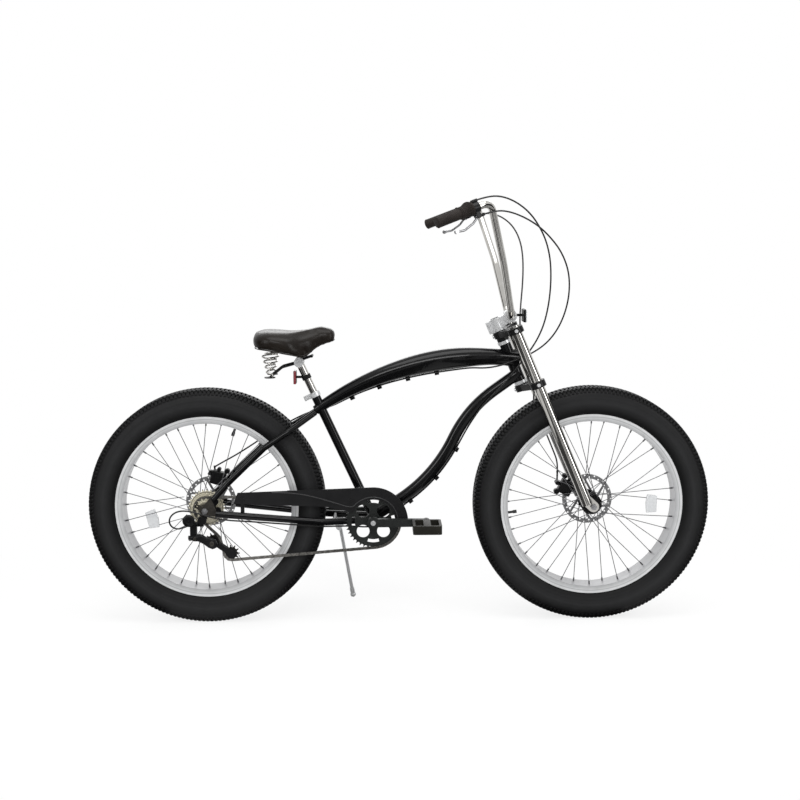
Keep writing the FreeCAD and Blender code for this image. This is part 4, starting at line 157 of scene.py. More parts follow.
def ringed(name, axle, bands, rough, metal, pitch, relief, specular=0.5):
    """A turned surface with fine rings about a wheel's axle, in bands of (radius, colour)."""
    made, shader, add, link = new_material(name)
    here = object_place(add)
    shifted = add("ShaderNodeVectorMath", (("operation", "SUBTRACT"),), i0=here, i1=tuple(axle))
    parts = add("ShaderNodeSeparateXYZ", i0=shifted.outputs[0])
    flat = add("ShaderNodeCombineXYZ", X=parts.outputs["X"], Z=parts.outputs["Z"])
    length = add("ShaderNodeVectorMath", (("operation", "LENGTH"),), i0=flat.outputs[0])
    radius = length.outputs["Value"]
    turns = add("ShaderNodeMath", (("operation", "MULTIPLY"),), i0=radius, i1=2 * math.pi / pitch)
    wave = add("ShaderNodeMath", (("operation", "SINE"),), i0=turns.outputs[0])
    broad = add("ShaderNodeTexNoise", Vector=here, Scale=22.0, Detail=5.0, Roughness=0.62)
    fine = add("ShaderNodeTexNoise", Vector=here, Scale=1100.0, Detail=2.0)
    first, last = bands[0][0], bands[-1][0]
    share = add("ShaderNodeMapRange", Value=radius, **{"From Min": first, "From Max": last})
    ramp = add("ShaderNodeValToRGB", Fac=share.outputs[0])
    stops = ramp.color_ramp.elements
    while len(stops) < len(bands):
        stops.new(0.5)
    for stop, (at, rgb) in zip(stops, bands):
        stop.position = (at - first) / (last - first)
    for stop, (at, rgb) in zip(stops, bands):
        stop.color = colour(rgb)
    tint = add("ShaderNodeVectorMath", (("operation", "SCALE"),), i0=ramp.outputs["Color"],
               Scale=between(add, broad.outputs["Fac"], low=0.78, high=1.22))
    link(tint.outputs[0], "Base Color")
    smoothest, roughest = max(0.03, rough - 0.08), min(1.0, rough + 0.08)
    link(between(add, fine.outputs["Fac"], smoothest, roughest), "Roughness")
    height = add("ShaderNodeMath", (("operation", "ADD"),), i0=wave.outputs[0],
                 i1=fine.outputs["Fac"])
    bump = add("ShaderNodeBump", Height=height.outputs[0], Strength=relief, Distance=0.0004)
    link(bump.outputs[0], "Normal")
    shader.inputs["Metallic"].default_value = metal
    shader.inputs["Specular IOR Level"].default_value = specular
    return made


def leather(name, dark, light, rough, cell):
    """Fine pebbled leather with soft colour clouds."""
    made, shader, add, link = new_material(name)
    here = object_place(add)
    broad = add("ShaderNodeTexNoise", Vector=here, Scale=16.0, Detail=5.0, Roughness=0.6)
    pebble = add("ShaderNodeTexVoronoi", (("feature", "DISTANCE_TO_EDGE"),), Vector=here,
                 Scale=1.0 / cell)
    crease = add("ShaderNodeTexNoise", Vector=here, Scale=260.0, Detail=4.0)
    tone = two_tone(add, broad.outputs["Fac"], dark, light, dark_at=0.3, light_at=0.75)
    link(tone, "Base Color")
    link(between(add, crease.outputs["Fac"], rough - 0.08, rough + 0.12), "Roughness")
    height = add("ShaderNodeMath", (("operation", "MULTIPLY_ADD"),), i0=pebble.outputs["Distance"],
                 i1=1.6, i2=crease.outputs["Fac"])
    bump = add("ShaderNodeBump", Height=height.outputs[0], Strength=0.09, Distance=0.0006)
    link(bump.outputs[0], "Normal")
    shader.inputs["Specular IOR Level"].default_value = 0.14
    return made


def lens(name, dark, light, pitch):
    """A moulded reflector with small prisms under a clear skin."""
    made, shader, add, link = new_material(name)
    prism = add("ShaderNodeTexVoronoi", (("feature", "F1"), ("distance", "MANHATTAN")),
                Vector=object_place(add), Scale=1.0 / pitch, Randomness=0.0)
    tone = two_tone(add, prism.outputs["Distance"], dark, light, dark_at=0.0, light_at=0.8)
    link(tone, "Base Color")
    bump = add("ShaderNodeBump", Height=prism.outputs["Distance"], Strength=0.5, Distance=0.001)
    link(bump.outputs[0], "Normal")
    shader.inputs["Roughness"].default_value = 0.18
    shader.inputs["Coat Weight"].default_value = 0.8
    return made


paint = worn("gloss_black_paint", (0.0014, 0.0014, 0.0016), (0.0030, 0.0030, 0.0034), 0.20,
             grain=420.0, relief=0.02, spread=0.05, coat=0.20, coat_rough=0.04, specular=0.10)
chrome = worn("chrome_plate", (0.42, 0.41, 0.39), (0.55, 0.54, 0.515), 0.06, metal=1.0,
              grain=600.0, relief=0.008, spread=0.03)
silver = worn("satin_alloy", (0.46, 0.465, 0.47), (0.60, 0.605, 0.61), 0.32, metal=0.55,
              grain=700.0, relief=0.015, spread=0.05)
black_metal = worn("black_coated_metal", (0.0025, 0.0025, 0.0028), (0.0065, 0.0065, 0.0070), 0.36,
                   grain=1300.0, relief=0.09, coat=0.05, coat_rough=0.15, specular=0.13)
guard_finish = worn("moulded_guard", (0.0045, 0.0045, 0.0050), (0.0080, 0.0080, 0.0086), 0.40,
                    grain=1900.0, relief=0.08, spread=0.07, specular=0.22)
# The guard's lip is lighter than the guard, a painted highlight along its edge.
guard_edge_highlight = worn("moulded_guard_lip_highlight", (0.016, 0.016, 0.017), (0.026, 0.026, 0.027), 0.34,
                  grain=1900.0, specular=0.35)
drive_alloy = worn("black_drive_alloy", (0.008, 0.009, 0.0085), (0.018, 0.020, 0.019), 0.30,
                   grain=1300.0, coat=0.12, coat_rough=0.15, specular=0.32)
pedal_resin = worn("dark_pedal_resin", (0.0085, 0.0080, 0.0060), (0.018, 0.017, 0.013), 0.42,
                   grain=1600.0, relief=0.14, specular=0.15)
steel = worn("bright_steel", (0.32, 0.32, 0.33), (0.46, 0.46, 0.47), 0.28, metal=1.0,
             grain=1500.0, relief=0.04)
spoke_steel = worn("drawn_spoke_steel", (0.10, 0.10, 0.105), (0.17, 0.17, 0.175), 0.30, metal=1.0,
                   grain=1500.0, relief=0.04)
chain_steel = worn("oiled_chain_steel", (0.05, 0.048, 0.045), (0.30, 0.29, 0.27), 0.34, metal=0.9,
                   cloud=150.0, grain=1200.0, relief=0.08)
lever_alloy = worn("polished_lever_alloy", (0.20, 0.20, 0.205), (0.33, 0.33, 0.335), 0.22,
                   metal=0.9, relief=0.03)
dropout_steel = worn("bronzed_dropout_steel", (0.020, 0.018, 0.015), (0.045, 0.040, 0.034), 0.36,
                     metal=0.5, cloud=60.0, grain=1300.0)
housing = worn("cable_housing", (0.004, 0.004, 0.004), (0.010, 0.010, 0.010), 0.36, relief=0.05,
               specular=0.3)
plastic = worn("black_plastic", (0.003, 0.003, 0.003), (0.007, 0.007, 0.007), 0.45, grain=1600.0,
               relief=0.14, specular=0.13)
tube_rubber = worn("tube_rubber", (0.010, 0.010, 0.010), (0.020, 0.020, 0.020), 0.6, relief=0.1)
grip_rubber = leather("grip_rubber", (0.011, 0.0085, 0.0075), (0.021, 0.017, 0.015), 0.60, 0.0022)
saddle_leather = leather("saddle_leather", (0.0058, 0.0044, 0.0034), (0.0112, 0.0086, 0.0066),
                         0.28, 0.0018)
red_lens = lens("red_reflector", (0.055, 0.003, 0.006), (0.16, 0.008, 0.014), 0.003)
white_lens = lens("white_reflector", (0.34, 0.35, 0.36), (0.60, 0.61, 0.62), 0.004)

# Bands of (radius, colour) about the axles
# The rim's bands: a bright machined braking band with a dark groove at its inner edge, then painted
# shade darkening towards the inside of the rim.
rim_bands_with_shade = [
    (0.2630, (0.34, 0.34, 0.35)), (0.2700, (0.42, 0.425, 0.43)), (0.2765, (0.52, 0.525, 0.53)),
    (0.2785, (0.30, 0.305, 0.31)), (0.2800, (0.56, 0.565, 0.57)), (0.2875, (0.60, 0.605, 0.61)),
]
rotor_bands = [
    (0.016, (0.15, 0.15, 0.155)), (0.060, (0.19, 0.19, 0.195)), (0.081, (0.26, 0.26, 0.265)),
]
# The tyre's bands paint a highlight round the middle of the sidewall and painted shade towards the
# rim and the shoulder, with the tread's top a little lighter.
tyre_light_and_shade_bands = [
    (0.2850, (0.0050, 0.0050, 0.0053)), (0.2950, (0.0022, 0.0022, 0.0024)),
    (0.3100, (0.0100, 0.0101, 0.0106)), (0.3240, (0.0165, 0.0167, 0.0174)),
    (0.3390, (0.0110, 0.0111, 0.0116)), (0.3540, (0.0036, 0.0036, 0.0039)),
    (0.3650, (0.0028, 0.0028, 0.0031)), (0.3720, (0.0120, 0.0122, 0.0128)),
]
CHAIN_PITCH = 0.0127
COG_TEETH = (14, 16, 18, 20, 22, 24, 28)
# Each cog is light across its face and dark from just outside its pitch circle: painted shade over
# its teeth and the step behind them to the next, larger cog.
cog_bands_with_shade = [(0.0160, (0.10, 0.09, 0.07)), (0.0240, (0.30, 0.28, 0.22))]
for teeth in COG_TEETH:
    pitch_radius = CHAIN_PITCH / (2 * math.sin(math.pi / teeth))
    cog_bands_with_shade += [
        (pitch_radius - 0.0026, (0.74, 0.70, 0.56)),
        (pitch_radius - 0.0008, (0.70, 0.66, 0.52)),
        (pitch_radius + 0.0006, (0.09, 0.08, 0.065)),
    ]
cog_finish = ringed("bronzed_cogs", REAR_AXLE, cog_bands_with_shade, rough=0.34, metal=0.2, pitch=0.0020,
                    relief=0.04)
rim_finish, rotor_finish, tyre_finish = {}, {}, {}
for end, axle in (("front", FRONT_AXLE), ("rear", REAR_AXLE)):
    rim_finish[end] = ringed(end + "_rim_alloy", axle, rim_bands_with_shade, rough=0.34, metal=0.35,
                             pitch=0.0016, relief=0.03)
    rotor_finish[end] = ringed(end + "_rotor_steel", axle, rotor_bands, rough=0.28, metal=0.6,
                               pitch=0.0009, relief=0.10)
    tyre_finish[end] = ringed(end + "_tyre_rubber", axle, tyre_light_and_shade_bands, rough=0.50, metal=0.0,
                              pitch=0.0105, relief=0.22, specular=0.14)

finish_by_slot = {
    "frame_paint": paint, "chrome": chrome, "silver": silver, "black_metal": black_metal,
    "guard": guard_finish, "tyre": tyre_finish["front"], "tube_rubber": tube_rubber,
    "steel": steel, "chain_steel": chain_steel, "cog_brass": cog_finish, "grip": grip_rubber,
    "saddle": saddle_leather, "cable": housing, "pedal": pedal_resin, "red_lens": red_lens,
    "white_lens": white_lens,
}
finish_by_node = {
    "front_rim": rim_finish["front"], "rear_rim": rim_finish["rear"],
    "front_rotor": rotor_finish["front"], "rear_rotor": rotor_finish["rear"],
    "front_spokes": spoke_steel, "rear_spokes": spoke_steel,
    "bearing_cups": silver, "kickstand_bracket": silver, "crank_spindle": silver,
    "right_brake_lever": lever_alloy, "left_brake_lever": lever_alloy,
    "crank_arms": drive_alloy, "chainring": drive_alloy,
}


def wear(piece, made):
    """Gives every slot of a piece one material."""
    piece.data.materials.clear()
    piece.data.materials.append(made)


for entry in frame["record"]["subparts"]:
    name = entry["node"]
    wear(nodes[name], finish_by_node.get(name, finish_by_slot[entry["material_slot"]]))


def paint_where(name, made, test):
    """A second finish on the faces of a node whose middle passes a test."""
    mesh = nodes[name].data
    mesh.materials.append(made)
    last = len(mesh.materials) - 1
    for face in mesh.polygons:
        if test(face.center):
            face.material_index = last


def off_axis(spot, axis):
    """Distance of a point from a line across the bike."""
    return (Vector((spot.x, 0, spot.z)) - axis).length


# The reflectors' brackets are black, and so are the backs of their lenses
REAR_LENS_DEPTH = 0.0085
FRONT_LENS_DEPTH = 0.004
rear_lens_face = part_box("rear_reflector")[0].x
front_lens_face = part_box("front_reflector")[1].x
paint_where("rear_reflector", plastic, lambda spot: spot.x > rear_lens_face + REAR_LENS_DEPTH)
paint_where("front_reflector", plastic, lambda spot: spot.x < front_lens_face - FRONT_LENS_DEPTH)

# Bright bolts in the fork clamps: one in the middle of each, and heads beyond the sides
MIDDLE_BOLTS = [Vector((0.364, 0.0, 0.733)), Vector((0.294, 0.0, 0.899))]
MIDDLE_BOLT_RADIUS = 0.0075
CLAMP_SIDE = 0.1051
paint_where("fork_clamps", silver, lambda spot: abs(spot.y) > CLAMP_SIDE
            or min((spot - bolt).length for bolt in MIDDLE_BOLTS) < MIDDLE_BOLT_RADIUS)

# A bright clamp under the saddle, and bare bronzed dropout plates round the rear axle
SADDLE_CLAMP = Vector((-0.312, 0.0, 0.825))
SADDLE_CLAMP_RADIUS = 0.0165
DROPOUT_RADIUS = 0.030
paint_where("saddle_frame", silver,
            lambda spot: off_axis(spot, SADDLE_CLAMP) < SADDLE_CLAMP_RADIUS)
paint_where("chain_stays", dropout_steel,
            lambda spot: off_axis(spot, REAR_AXLE) < DROPOUT_RADIUS)


# Mesh helpers
TO_LEFT = (0, 1, 0)
TO_RIGHT = (0, -1, 0)


def shown(name, mesh, made, smooth):
    """An object in the scene from a mesh and one material."""
    mesh.polygons.foreach_set("use_smooth", [smooth] * len(mesh.polygons))
    piece = bpy.data.objects.new(name, mesh)
    scene.collection.objects.link(piece)
    wear(piece, made)
    return piece


def mesh_piece(name, points, faces, made, smooth=True):
    """An object from points and faces, in the row frame."""
    mesh = bpy.data.meshes.new(name)
    mesh.from_pydata([tuple(point) for point in points], [], faces)
    mesh.validate()
    shape = bmesh.new()
    shape.from_mesh(mesh)
    bmesh.ops.recalc_face_normals(shape, faces=shape.faces)
    shape.to_mesh(mesh)
    shape.free()
    return shown(name, mesh, made, smooth)


def evaluated_mesh(piece):
    """A new mesh from an object as its curve or modifiers make it."""
    bpy.context.view_layer.update()
    graph = bpy.context.evaluated_depsgraph_get()
    return bpy.data.meshes.new_from_object(piece.evaluated_get(graph))


def creased(piece, degrees):
    """Keeps a smooth piece's edges sharp from an angle on."""
    piece.data.set_sharp_from_angle(angle=math.radians(degrees))
    return piece


def bevelled(piece, width, segments=2):
    """Rounds a piece's sharp edges."""
    edge = piece.modifiers.new("edge", "BEVEL")
    edge.width = width
    edge.segments = segments
    edge.limit_method = "ANGLE"
    edge.angle_limit = math.radians(35)
    return piece


def merged(lumps):
    """One list of points and one of faces from several pairs of them."""
    points, faces = [], []
    for lump_points, lump_faces in lumps:
        base = len(points)
        points += lump_points
        faces += [tuple(base + corner for corner in face) for face in lump_faces]
    return points, faces


def stacked(levels):
    """Points and faces of a solid through outlines of equal count, one after the other."""
    count = len(levels[0])
    points = [point for level in levels for point in level]
    last = (len(levels) - 1) * count
    faces = [tuple(range(count)), tuple(range(last + count - 1, last - 1, -1))]
    for near in range(0, last, count):
        far = near + count
        for corner in range(count):
            after = (corner + 1) % count
            faces.append((near + corner, near + after, far + after, far + corner))
    return points, faces


def lathe(profile, start, along, steps):
    """Points and faces of a closed profile of (distance along, radius) spun about a line."""
    along = Vector(along).normalized()
    side = along.orthogonal().normalized()
    other = along.cross(side)
    points, faces = [], []
    count = len(profile)
    for step in range(steps):
        angle = 2 * math.pi * step / steps
        out = side * math.cos(angle) + other * math.sin(angle)
        points.extend(Vector(start) + along * reach + out * radius for reach, radius in profile)
    for step in range(steps):
        near, far = step * count, (step + 1) % steps * count
        for index in range(count):
            after = (index + 1) % count
            faces.append((near + index, near + after, far + after, far + index))
    return points, faces


def route_tube(name, route, radius, made):
    """A round tube along the smooth spline that has the route's points as control points."""
    curve = bpy.data.curves.new(name + "_line", "CURVE")
    curve.dimensions = "3D"
    curve.bevel_depth = radius
    curve.bevel_resolution = 4
    curve.use_fill_caps = True
    spline = curve.splines.new("NURBS")
    spline.points.add(len(route) - 1)
    for point, spot in zip(spline.points, route):
        point.co = (spot[0], spot[1], spot[2], 1.0)
    spline.order_u = 3
    spline.use_endpoint_u = True
    spline.resolution_u = 6
    line = bpy.data.objects.new(name + "_line", curve)
    scene.collection.objects.link(line)
    mesh = evaluated_mesh(line)
    bpy.data.objects.remove(line)
    bpy.data.curves.remove(curve)
    mesh.name = name
    return shown(name, mesh, made, smooth=True)


# Cables
CABLE_RADIUS = 0.0025
rear_brake_route = [
    (0.243, -0.2725, 1.277), (0.280, -0.252, 1.288), (0.322, -0.230, 1.284), (0.366, -0.206, 1.268),
    (0.410, -0.180, 1.244), (0.450, -0.152, 1.210), (0.488, -0.124, 1.166), (0.514, -0.098, 1.110),
    (0.522, -0.074, 1.050), (0.515, -0.058, 0.990), (0.494, -0.048, 0.932), (0.459, -0.044, 0.884),
    (0.410, -0.042, 0.850), (0.358, -0.040, 0.829), (0.312, -0.034, 0.812), (0.268, -0.022, 0.804),
    (0.2256, -0.0106, 0.805), (0.1818, -0.0038, 0.799), (0.141, 0.0, 0.793), (0.0947, 0.002, 0.786),
    (0.0495, 0.003, 0.7775), (0.0042, 0.0036, 0.767), (-0.0409, 0.0045, 0.755),
    (-0.0855, 0.006, 0.740), (-0.1292, 0.010, 0.7235), (-0.1696, 0.0175, 0.7035),
    (-0.207, 0.025, 0.684), (-0.246, 0.033, 0.671), (-0.290, 0.048, 0.659), (-0.352, 0.079, 0.625),
    (-0.425, 0.090, 0.581), (-0.480, 0.093, 0.544), (-0.530, 0.094, 0.513), (-0.568, 0.093, 0.493),
    (-0.594, 0.091, 0.478),
]
shift_route = [
    (0.2206, -0.2783, 1.3172), (0.258, -0.258, 1.329), (0.300, -0.236, 1.328),
    (0.342, -0.212, 1.312), (0.382, -0.186, 1.284), (0.414, -0.160, 1.246), (0.440, -0.134, 1.200),
    (0.456, -0.110, 1.148), (0.462, -0.090, 1.094), (0.462, -0.074, 1.040), (0.456, -0.066, 0.988),
    (0.444, -0.062, 0.938), (0.424, -0.058, 0.892), (0.395, -0.053, 0.848), (0.364, -0.046, 0.806),
    (0.337, -0.037, 0.768), (0.302, -0.029, 0.731), (0.267, -0.0203, 0.695),
    (0.238, -0.0152, 0.654), (0.2124, -0.009, 0.6124), (0.1907, -0.0027, 0.570),
    (0.1648, 0.0, 0.5223), (0.1329, 0.0, 0.4767), (0.0964, 0.0, 0.4351), (0.0555, 0.0, 0.398),
    (0.0117, -0.001, 0.366), (-0.028, -0.008, 0.337), (-0.062, -0.017, 0.308),
    (-0.102, -0.028, 0.302), (-0.150, -0.044, 0.310), (-0.198, -0.057, 0.313),
    (-0.245, -0.066, 0.314), (-0.300, -0.070, 0.319), (-0.360, -0.0746, 0.325),
    (-0.420, -0.0793, 0.331), (-0.480, -0.086, 0.337), (-0.530, -0.099, 0.343),
    (-0.575, -0.114, 0.354), (-0.620, -0.122, 0.370), (-0.656, -0.124, 0.380),
    (-0.686, -0.123, 0.378), (-0.706, -0.120, 0.364), (-0.713, -0.117, 0.345),
    (-0.706, -0.113, 0.327), (-0.689, -0.109, 0.319), (-0.671, -0.106, 0.322),
    (-0.657, -0.104, 0.328),
]
front_brake_route = [
    (0.243, 0.2725, 1.277), (0.280, 0.252, 1.287), (0.318, 0.228, 1.284), (0.352, 0.200, 1.266),
    (0.378, 0.170, 1.236), (0.394, 0.142, 1.194), (0.399, 0.118, 1.148), (0.398, 0.098, 1.100),
    (0.394, 0.082, 1.050), (0.388, 0.068, 1.000), (0.384, 0.058, 0.950), (0.386, 0.050, 0.900),
    (0.396, 0.042, 0.850), (0.417, 0.036, 0.804), (0.436, 0.034, 0.763), (0.431, 0.044, 0.727),
    (0.429, 0.057, 0.694), (0.438, 0.072, 0.660), (0.459, 0.080, 0.617), (0.479, 0.080, 0.571),
    (0.498, 0.080, 0.525), (0.513, 0.080, 0.486), (0.512, 0.080, 0.455),
]
rear_brake_line = route_tube("rear_brake_line", rear_brake_route, CABLE_RADIUS, housing)
shift_line = route_tube("shift_line", shift_route, CABLE_RADIUS, housing)
front_brake_line = route_tube("front_brake_line", front_brake_route, CABLE_RADIUS, housing)
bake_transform(rear_brake_line)
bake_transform(shift_line)
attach(front_brake_line, "fork")
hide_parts("frame_cables")
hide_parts("frame_cables")
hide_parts("front_brake_cable")


def wire_boot(name, start, end):
    """A ribbed boot from a housing's end to a caliper arm."""
    run = Vector(end) - Vector(start)
    length = run.length
    core, cuff, ribs = 0.0005, 0.002, 6
    profile = [(-0.004, core), (-0.004, 0.0036), (cuff, 0.0038)]
    for rib in range(ribs):
        foot = cuff + (length - 2 * cuff) * rib / ribs
        profile += [(foot + length * 0.05, 0.0024), (foot + length * 0.11, 0.0032)]
    profile += [(length - 0.001, 0.0022), (length, core)]
    piece = mesh_piece(name, *lathe(profile, start, run, steps=20), housing)
    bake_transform(piece)


wire_boot("front_wire_boot", (0.512, 0.080, 0.455), (0.511, 0.0782, 0.4285))
wire_boot("rear_wire_boot", (-0.594, 0.091, 0.478), (-0.594, 0.0900, 0.4600))


def caliper_fittings(name, body, near, far, bosses):
    """Rounded bolt bosses about a caliper, each (along, height, radius), turned across the bike."""
    deep, core = far - near, 0.0006
    lumps = []
    for along, height, radius in bosses:
        profile = [
            (0.0, core), (0.0, radius * 0.55), (0.0016, radius * 0.60), (0.0016, radius * 0.85),
            (0.0032, radius), (deep - 0.0020, radius), (deep, radius * 0.85), (deep, core),
        ]
        lumps.append(lathe(profile, (along, near, height), TO_LEFT, steps=24))
    piece = creased(mesh_piece(name, *merged(lumps), black_metal), 40)
    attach(piece, body)


caliper_fittings("rear_caliper_bosses", "frame", 0.056, 0.080,
                 [(-0.603, 0.463, 0.0085), (-0.551, 0.468, 0.0080), (-0.577, 0.474, 0.0065)])
caliper_fittings("front_caliper_bosses", "fork", 0.044, 0.068,
                 [(0.506, 0.396, 0.0085), (0.532, 0.446, 0.0080), (0.508, 0.424, 0.0065)])


# Tyres: a carcass with rows of tread blocks, in (place across, radius) from the wheel's middle
carcass_half = [
    (0.0362, 0.2805), (0.0364, 0.2885), (0.0400, 0.2945), (0.0445, 0.3040), (0.0475, 0.3170),
    (0.0487, 0.3320), (0.0479, 0.3420), (0.0458, 0.3505), (0.0424, 0.3560), (0.0380, 0.3600),
    (0.0270, 0.3660), (0.0060, 0.3670),
]
row_sections = [
    # outline across and out of each row's block, foot first
    [(0.0022, 0.3655), (0.0022, 0.3705), (0.0032, 0.3720), (0.0110, 0.3720), (0.0120, 0.3705),
     (0.0120, 0.3655)],
    [(0.0136, 0.3655), (0.0136, 0.3705), (0.0146, 0.3720), (0.0226, 0.3720), (0.0236, 0.3705),
     (0.0236, 0.3655)],
    [(0.0252, 0.3650), (0.0252, 0.3705), (0.0262, 0.3718), (0.0310, 0.3710), (0.0350, 0.3690),
     (0.0354, 0.3672), (0.0340, 0.3590)],
    [(0.0372, 0.3560), (0.0374, 0.3664), (0.0384, 0.3668), (0.0414, 0.3618), (0.0436, 0.3560),
     (0.0434, 0.3545), (0.0410, 0.3520)],
]
row_phases = [0.0, 0.0, 0.5, 0.0]
CARCASS_STEPS = 192
BLOCKS_ROUND = 176
BLOCK_LENGTH = 0.0080
# share along a block's length, and how full its outline is there
BLOCK_SLICES = [(-0.5, 0.88), (-0.41, 1.0), (0.41, 1.0), (0.5, 0.88)]


def wheel_ways(angle):
    """Directions out of and round a wheel at an angle."""
    outward = Vector((math.cos(angle), 0, math.sin(angle)))
    return outward, Vector((-outward.z, 0, outward.x))


def tyre_piece(end, axle):
    """One tyre with its blocks as a single mesh about the axle."""
    loop = carcass_half + [(-across, radius) for across, radius in reversed(carcass_half)]
    lumps = [lathe(loop, axle, TO_LEFT, CARCASS_STEPS)]
    for side in (1, -1):
        for section, phase in zip(row_sections, row_phases):
            corners = [Vector(corner) for corner in section]
            middle = sum(corners, Vector((0.0, 0.0))) / len(corners)
            for step in range(BLOCKS_ROUND):
                outward, round_way = wheel_ways(2 * math.pi * (step + phase) / BLOCKS_ROUND)
                slices = []
                for along, fullness in BLOCK_SLICES:
                    drawn = [middle + (corner - middle) * fullness for corner in corners]
                    slices.append([axle + outward * spot.y + Vector((0, spot.x * side, 0))
                                   + round_way * (along * BLOCK_LENGTH) for spot in drawn])
                lumps.append(stacked(slices))
    piece = creased(mesh_piece(end + "_tyre_tread", *merged(lumps), tyre_finish[end]), 38)
    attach(piece, end + "_wheel")
    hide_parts(end + "_tyre")


tyre_piece("front", FRONT_AXLE)
tyre_piece("rear", REAR_AXLE)


# Grips and twist shifter
def sleeve_profile(start, end, body, ribs, bore, flange_start, flange_end):
    """A ribbed sleeve: rounded ends with flanges, shallow ribs between."""
    ease, flange, foot, rib_height = 0.0012, 0.0035, 0.0050, 0.0009
    outline = [(start, bore), (start, flange_start - ease), (start + ease, flange_start),
               (start + flange, flange_start), (start + foot, body)]
    run = end - start - 2 * foot
    pitch = run / ribs
    for index in range(ribs):
        rib = start + foot + run * (index + 0.25) / ribs
        outline += [(rib, body), (rib + pitch * 0.15, body + rib_height),
                    (rib + pitch * 0.45, body + rib_height), (rib + pitch * 0.6, body)]
    outline += [(end - foot, body), (end - flange, flange_end), (end - ease, flange_end),
                (end, flange_end - ease), (end, bore)]
    return outline


def on_side(vector, side):
    """A vector of the left side, or for a side of -1 its mirror image on the right."""
    return Vector((vector.x, vector.y * side, vector.z))


BAR_END = Vector((0.106, 0.345, 1.253))
BAR_RUN = Vector((0.829, -0.4625, 0.3137)).normalized()
GRIP_RIB_PITCH = 0.006
grip_lumps = []
for side, length in ((1, 0.118), (-1, 0.080)):
    profile = sleeve_profile(-0.005, length, body=0.0152, ribs=int(length / GRIP_RIB_PITCH),
                             bore=0.0005, flange_start=0.0165, flange_end=0.0180)
    grip_lumps.append(lathe(profile, on_side(BAR_END, side), on_side(BAR_RUN, side), steps=40))
grips = creased(mesh_piece("grip_sleeves", *merged(grip_lumps), grip_rubber), 50)
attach(grips, "fork")
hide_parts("grips")

# The shifter's sleeve swells into a hump on top, and its bore stays round
HUMP_START, HUMP_LENGTH, HUMP_SWELL = 0.082, 0.048, 0.42
BORE_LIMIT = 0.0125
right_end, right_run = on_side(BAR_END, -1), on_side(BAR_RUN, -1)
profile = sleeve_profile(0.0806, 0.1206, body=0.0172, ribs=9, bore=0.0114, flange_start=0.0178,
                         flange_end=0.0182)
points, faces = lathe(profile, right_end, right_run, steps=40)
hump_way = (Vector((0, 0, 1)) - right_run * right_run.z).normalized()
for index, point in enumerate(points):
    along = (point - right_end).dot(right_run)
    radial = point - right_end - right_run * along
    if radial.length > BORE_LIMIT:
        share = min(1.0, max(0.0, (along - HUMP_START) / HUMP_LENGTH))
        swell = math.sin(math.pi * share) ** 2
        upward = max(0.0, radial.normalized().dot(hump_way))
        points[index] = point + radial * (HUMP_SWELL * swell * upward)
shifter = creased(mesh_piece("shifter_sleeve", points, faces, grip_rubber), 50)
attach(shifter, "twist_shifter")
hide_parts("twist_shifter")


# Wheel reflectors clipped between the spokes
def wheel_reflector(end, axle, angle, reach):
    """A bevelled plate at an angle and a reach from a wheel's axle."""
    outward, round_way = wheel_ways(angle)
    outline = [(-0.016, -0.030), (0.016, -0.026), (0.016, 0.026), (-0.016, 0.030), (-0.020, 0.0)]
    half_depth = 0.005
    levels = [[axle + outward * (reach + out) + round_way * along + Vector((0, depth, 0))
               for out, along in outline] for depth in (-half_depth, half_depth)]
    piece = mesh_piece(end + "_wheel_reflector", *stacked(levels), white_lens, smooth=False)
    bevelled(piece, 0.0018, 3)
    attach(piece, end + "_wheel")


wheel_reflector("front", FRONT_AXLE, math.radians(-2), 0.198)
wheel_reflector("rear", REAR_AXLE, math.radians(194), 0.184)


# Rear derailleur: a domed knuckle over the mount and a cover on the cage carrier
KNUCKLE_FOOT = (-0.652, -0.1155, 0.347)
knuckle_profile = [
    (0.0, 0.0008), (0.0, 0.0175), (0.0012, 0.0190), (0.0045, 0.0190), (0.0062, 0.0172),
    (0.0070, 0.0095), (0.0060, 0.0085), (0.0060, 0.0008),
]
points, faces = lathe(knuckle_profile, KNUCKLE_FOOT, TO_RIGHT, steps=40)
knuckle = creased(mesh_piece("derailleur_knuckle", points, faces, black_metal), 40)
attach(knuckle, "frame")

# The cover's outline along and up, and its levels of (place across, share of the outline)
COVER_MIDDLE = (-0.603, 0.284)
cover_outline = [
    (-0.646, 0.290), (-0.640, 0.283), (-0.626, 0.283), (-0.607, 0.273), (-0.593, 0.262),
    (-0.580, 0.257), (-0.568, 0.262), (-0.564, 0.274), (-0.571, 0.287), (-0.583, 0.293),
    (-0.598, 0.295), (-0.611, 0.303), (-0.621, 0.306), (-0.628, 0.302), (-0.640, 0.298),
]
cover_levels = [(-0.1150, 1.0), (-0.1185, 1.0), (-0.1212, 0.90), (-0.1230, 0.70), (-0.1238, 0.35)]
levels = []
for y, grow in cover_levels:
    levels.append([Vector((COVER_MIDDLE[0] + (x - COVER_MIDDLE[0]) * grow, y,
                           COVER_MIDDLE[1] + (z - COVER_MIDDLE[1]) * grow))
                   for x, z in cover_outline])
cover = mesh_piece("derailleur_cover", *stacked(levels), black_metal, smooth=False)
bevelled(cover, 0.0012)
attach(cover, "derailleur_carrier")

BOLT_SEAT = -0.1185
bolt_lumps = []
for along, height, radius in ((-0.634, 0.291, 0.0055), (-0.582, 0.275, 0.0075)):
    profile = [
        (0.0, 0.0006), (0.0, radius), (0.0056, radius), (0.0066, radius * 0.85),
        (0.0066, radius * 0.5), (0.0052, radius * 0.45), (0.0052, 0.0006),
    ]
    bolt_lumps.append(lathe(profile, (along, BOLT_SEAT, height), TO_RIGHT, steps=28))
cover_bolts = creased(mesh_piece("derailleur_bolts", *merged(bolt_lumps), dropout_steel), 40)
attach(cover_bolts, "derailleur_carrier")

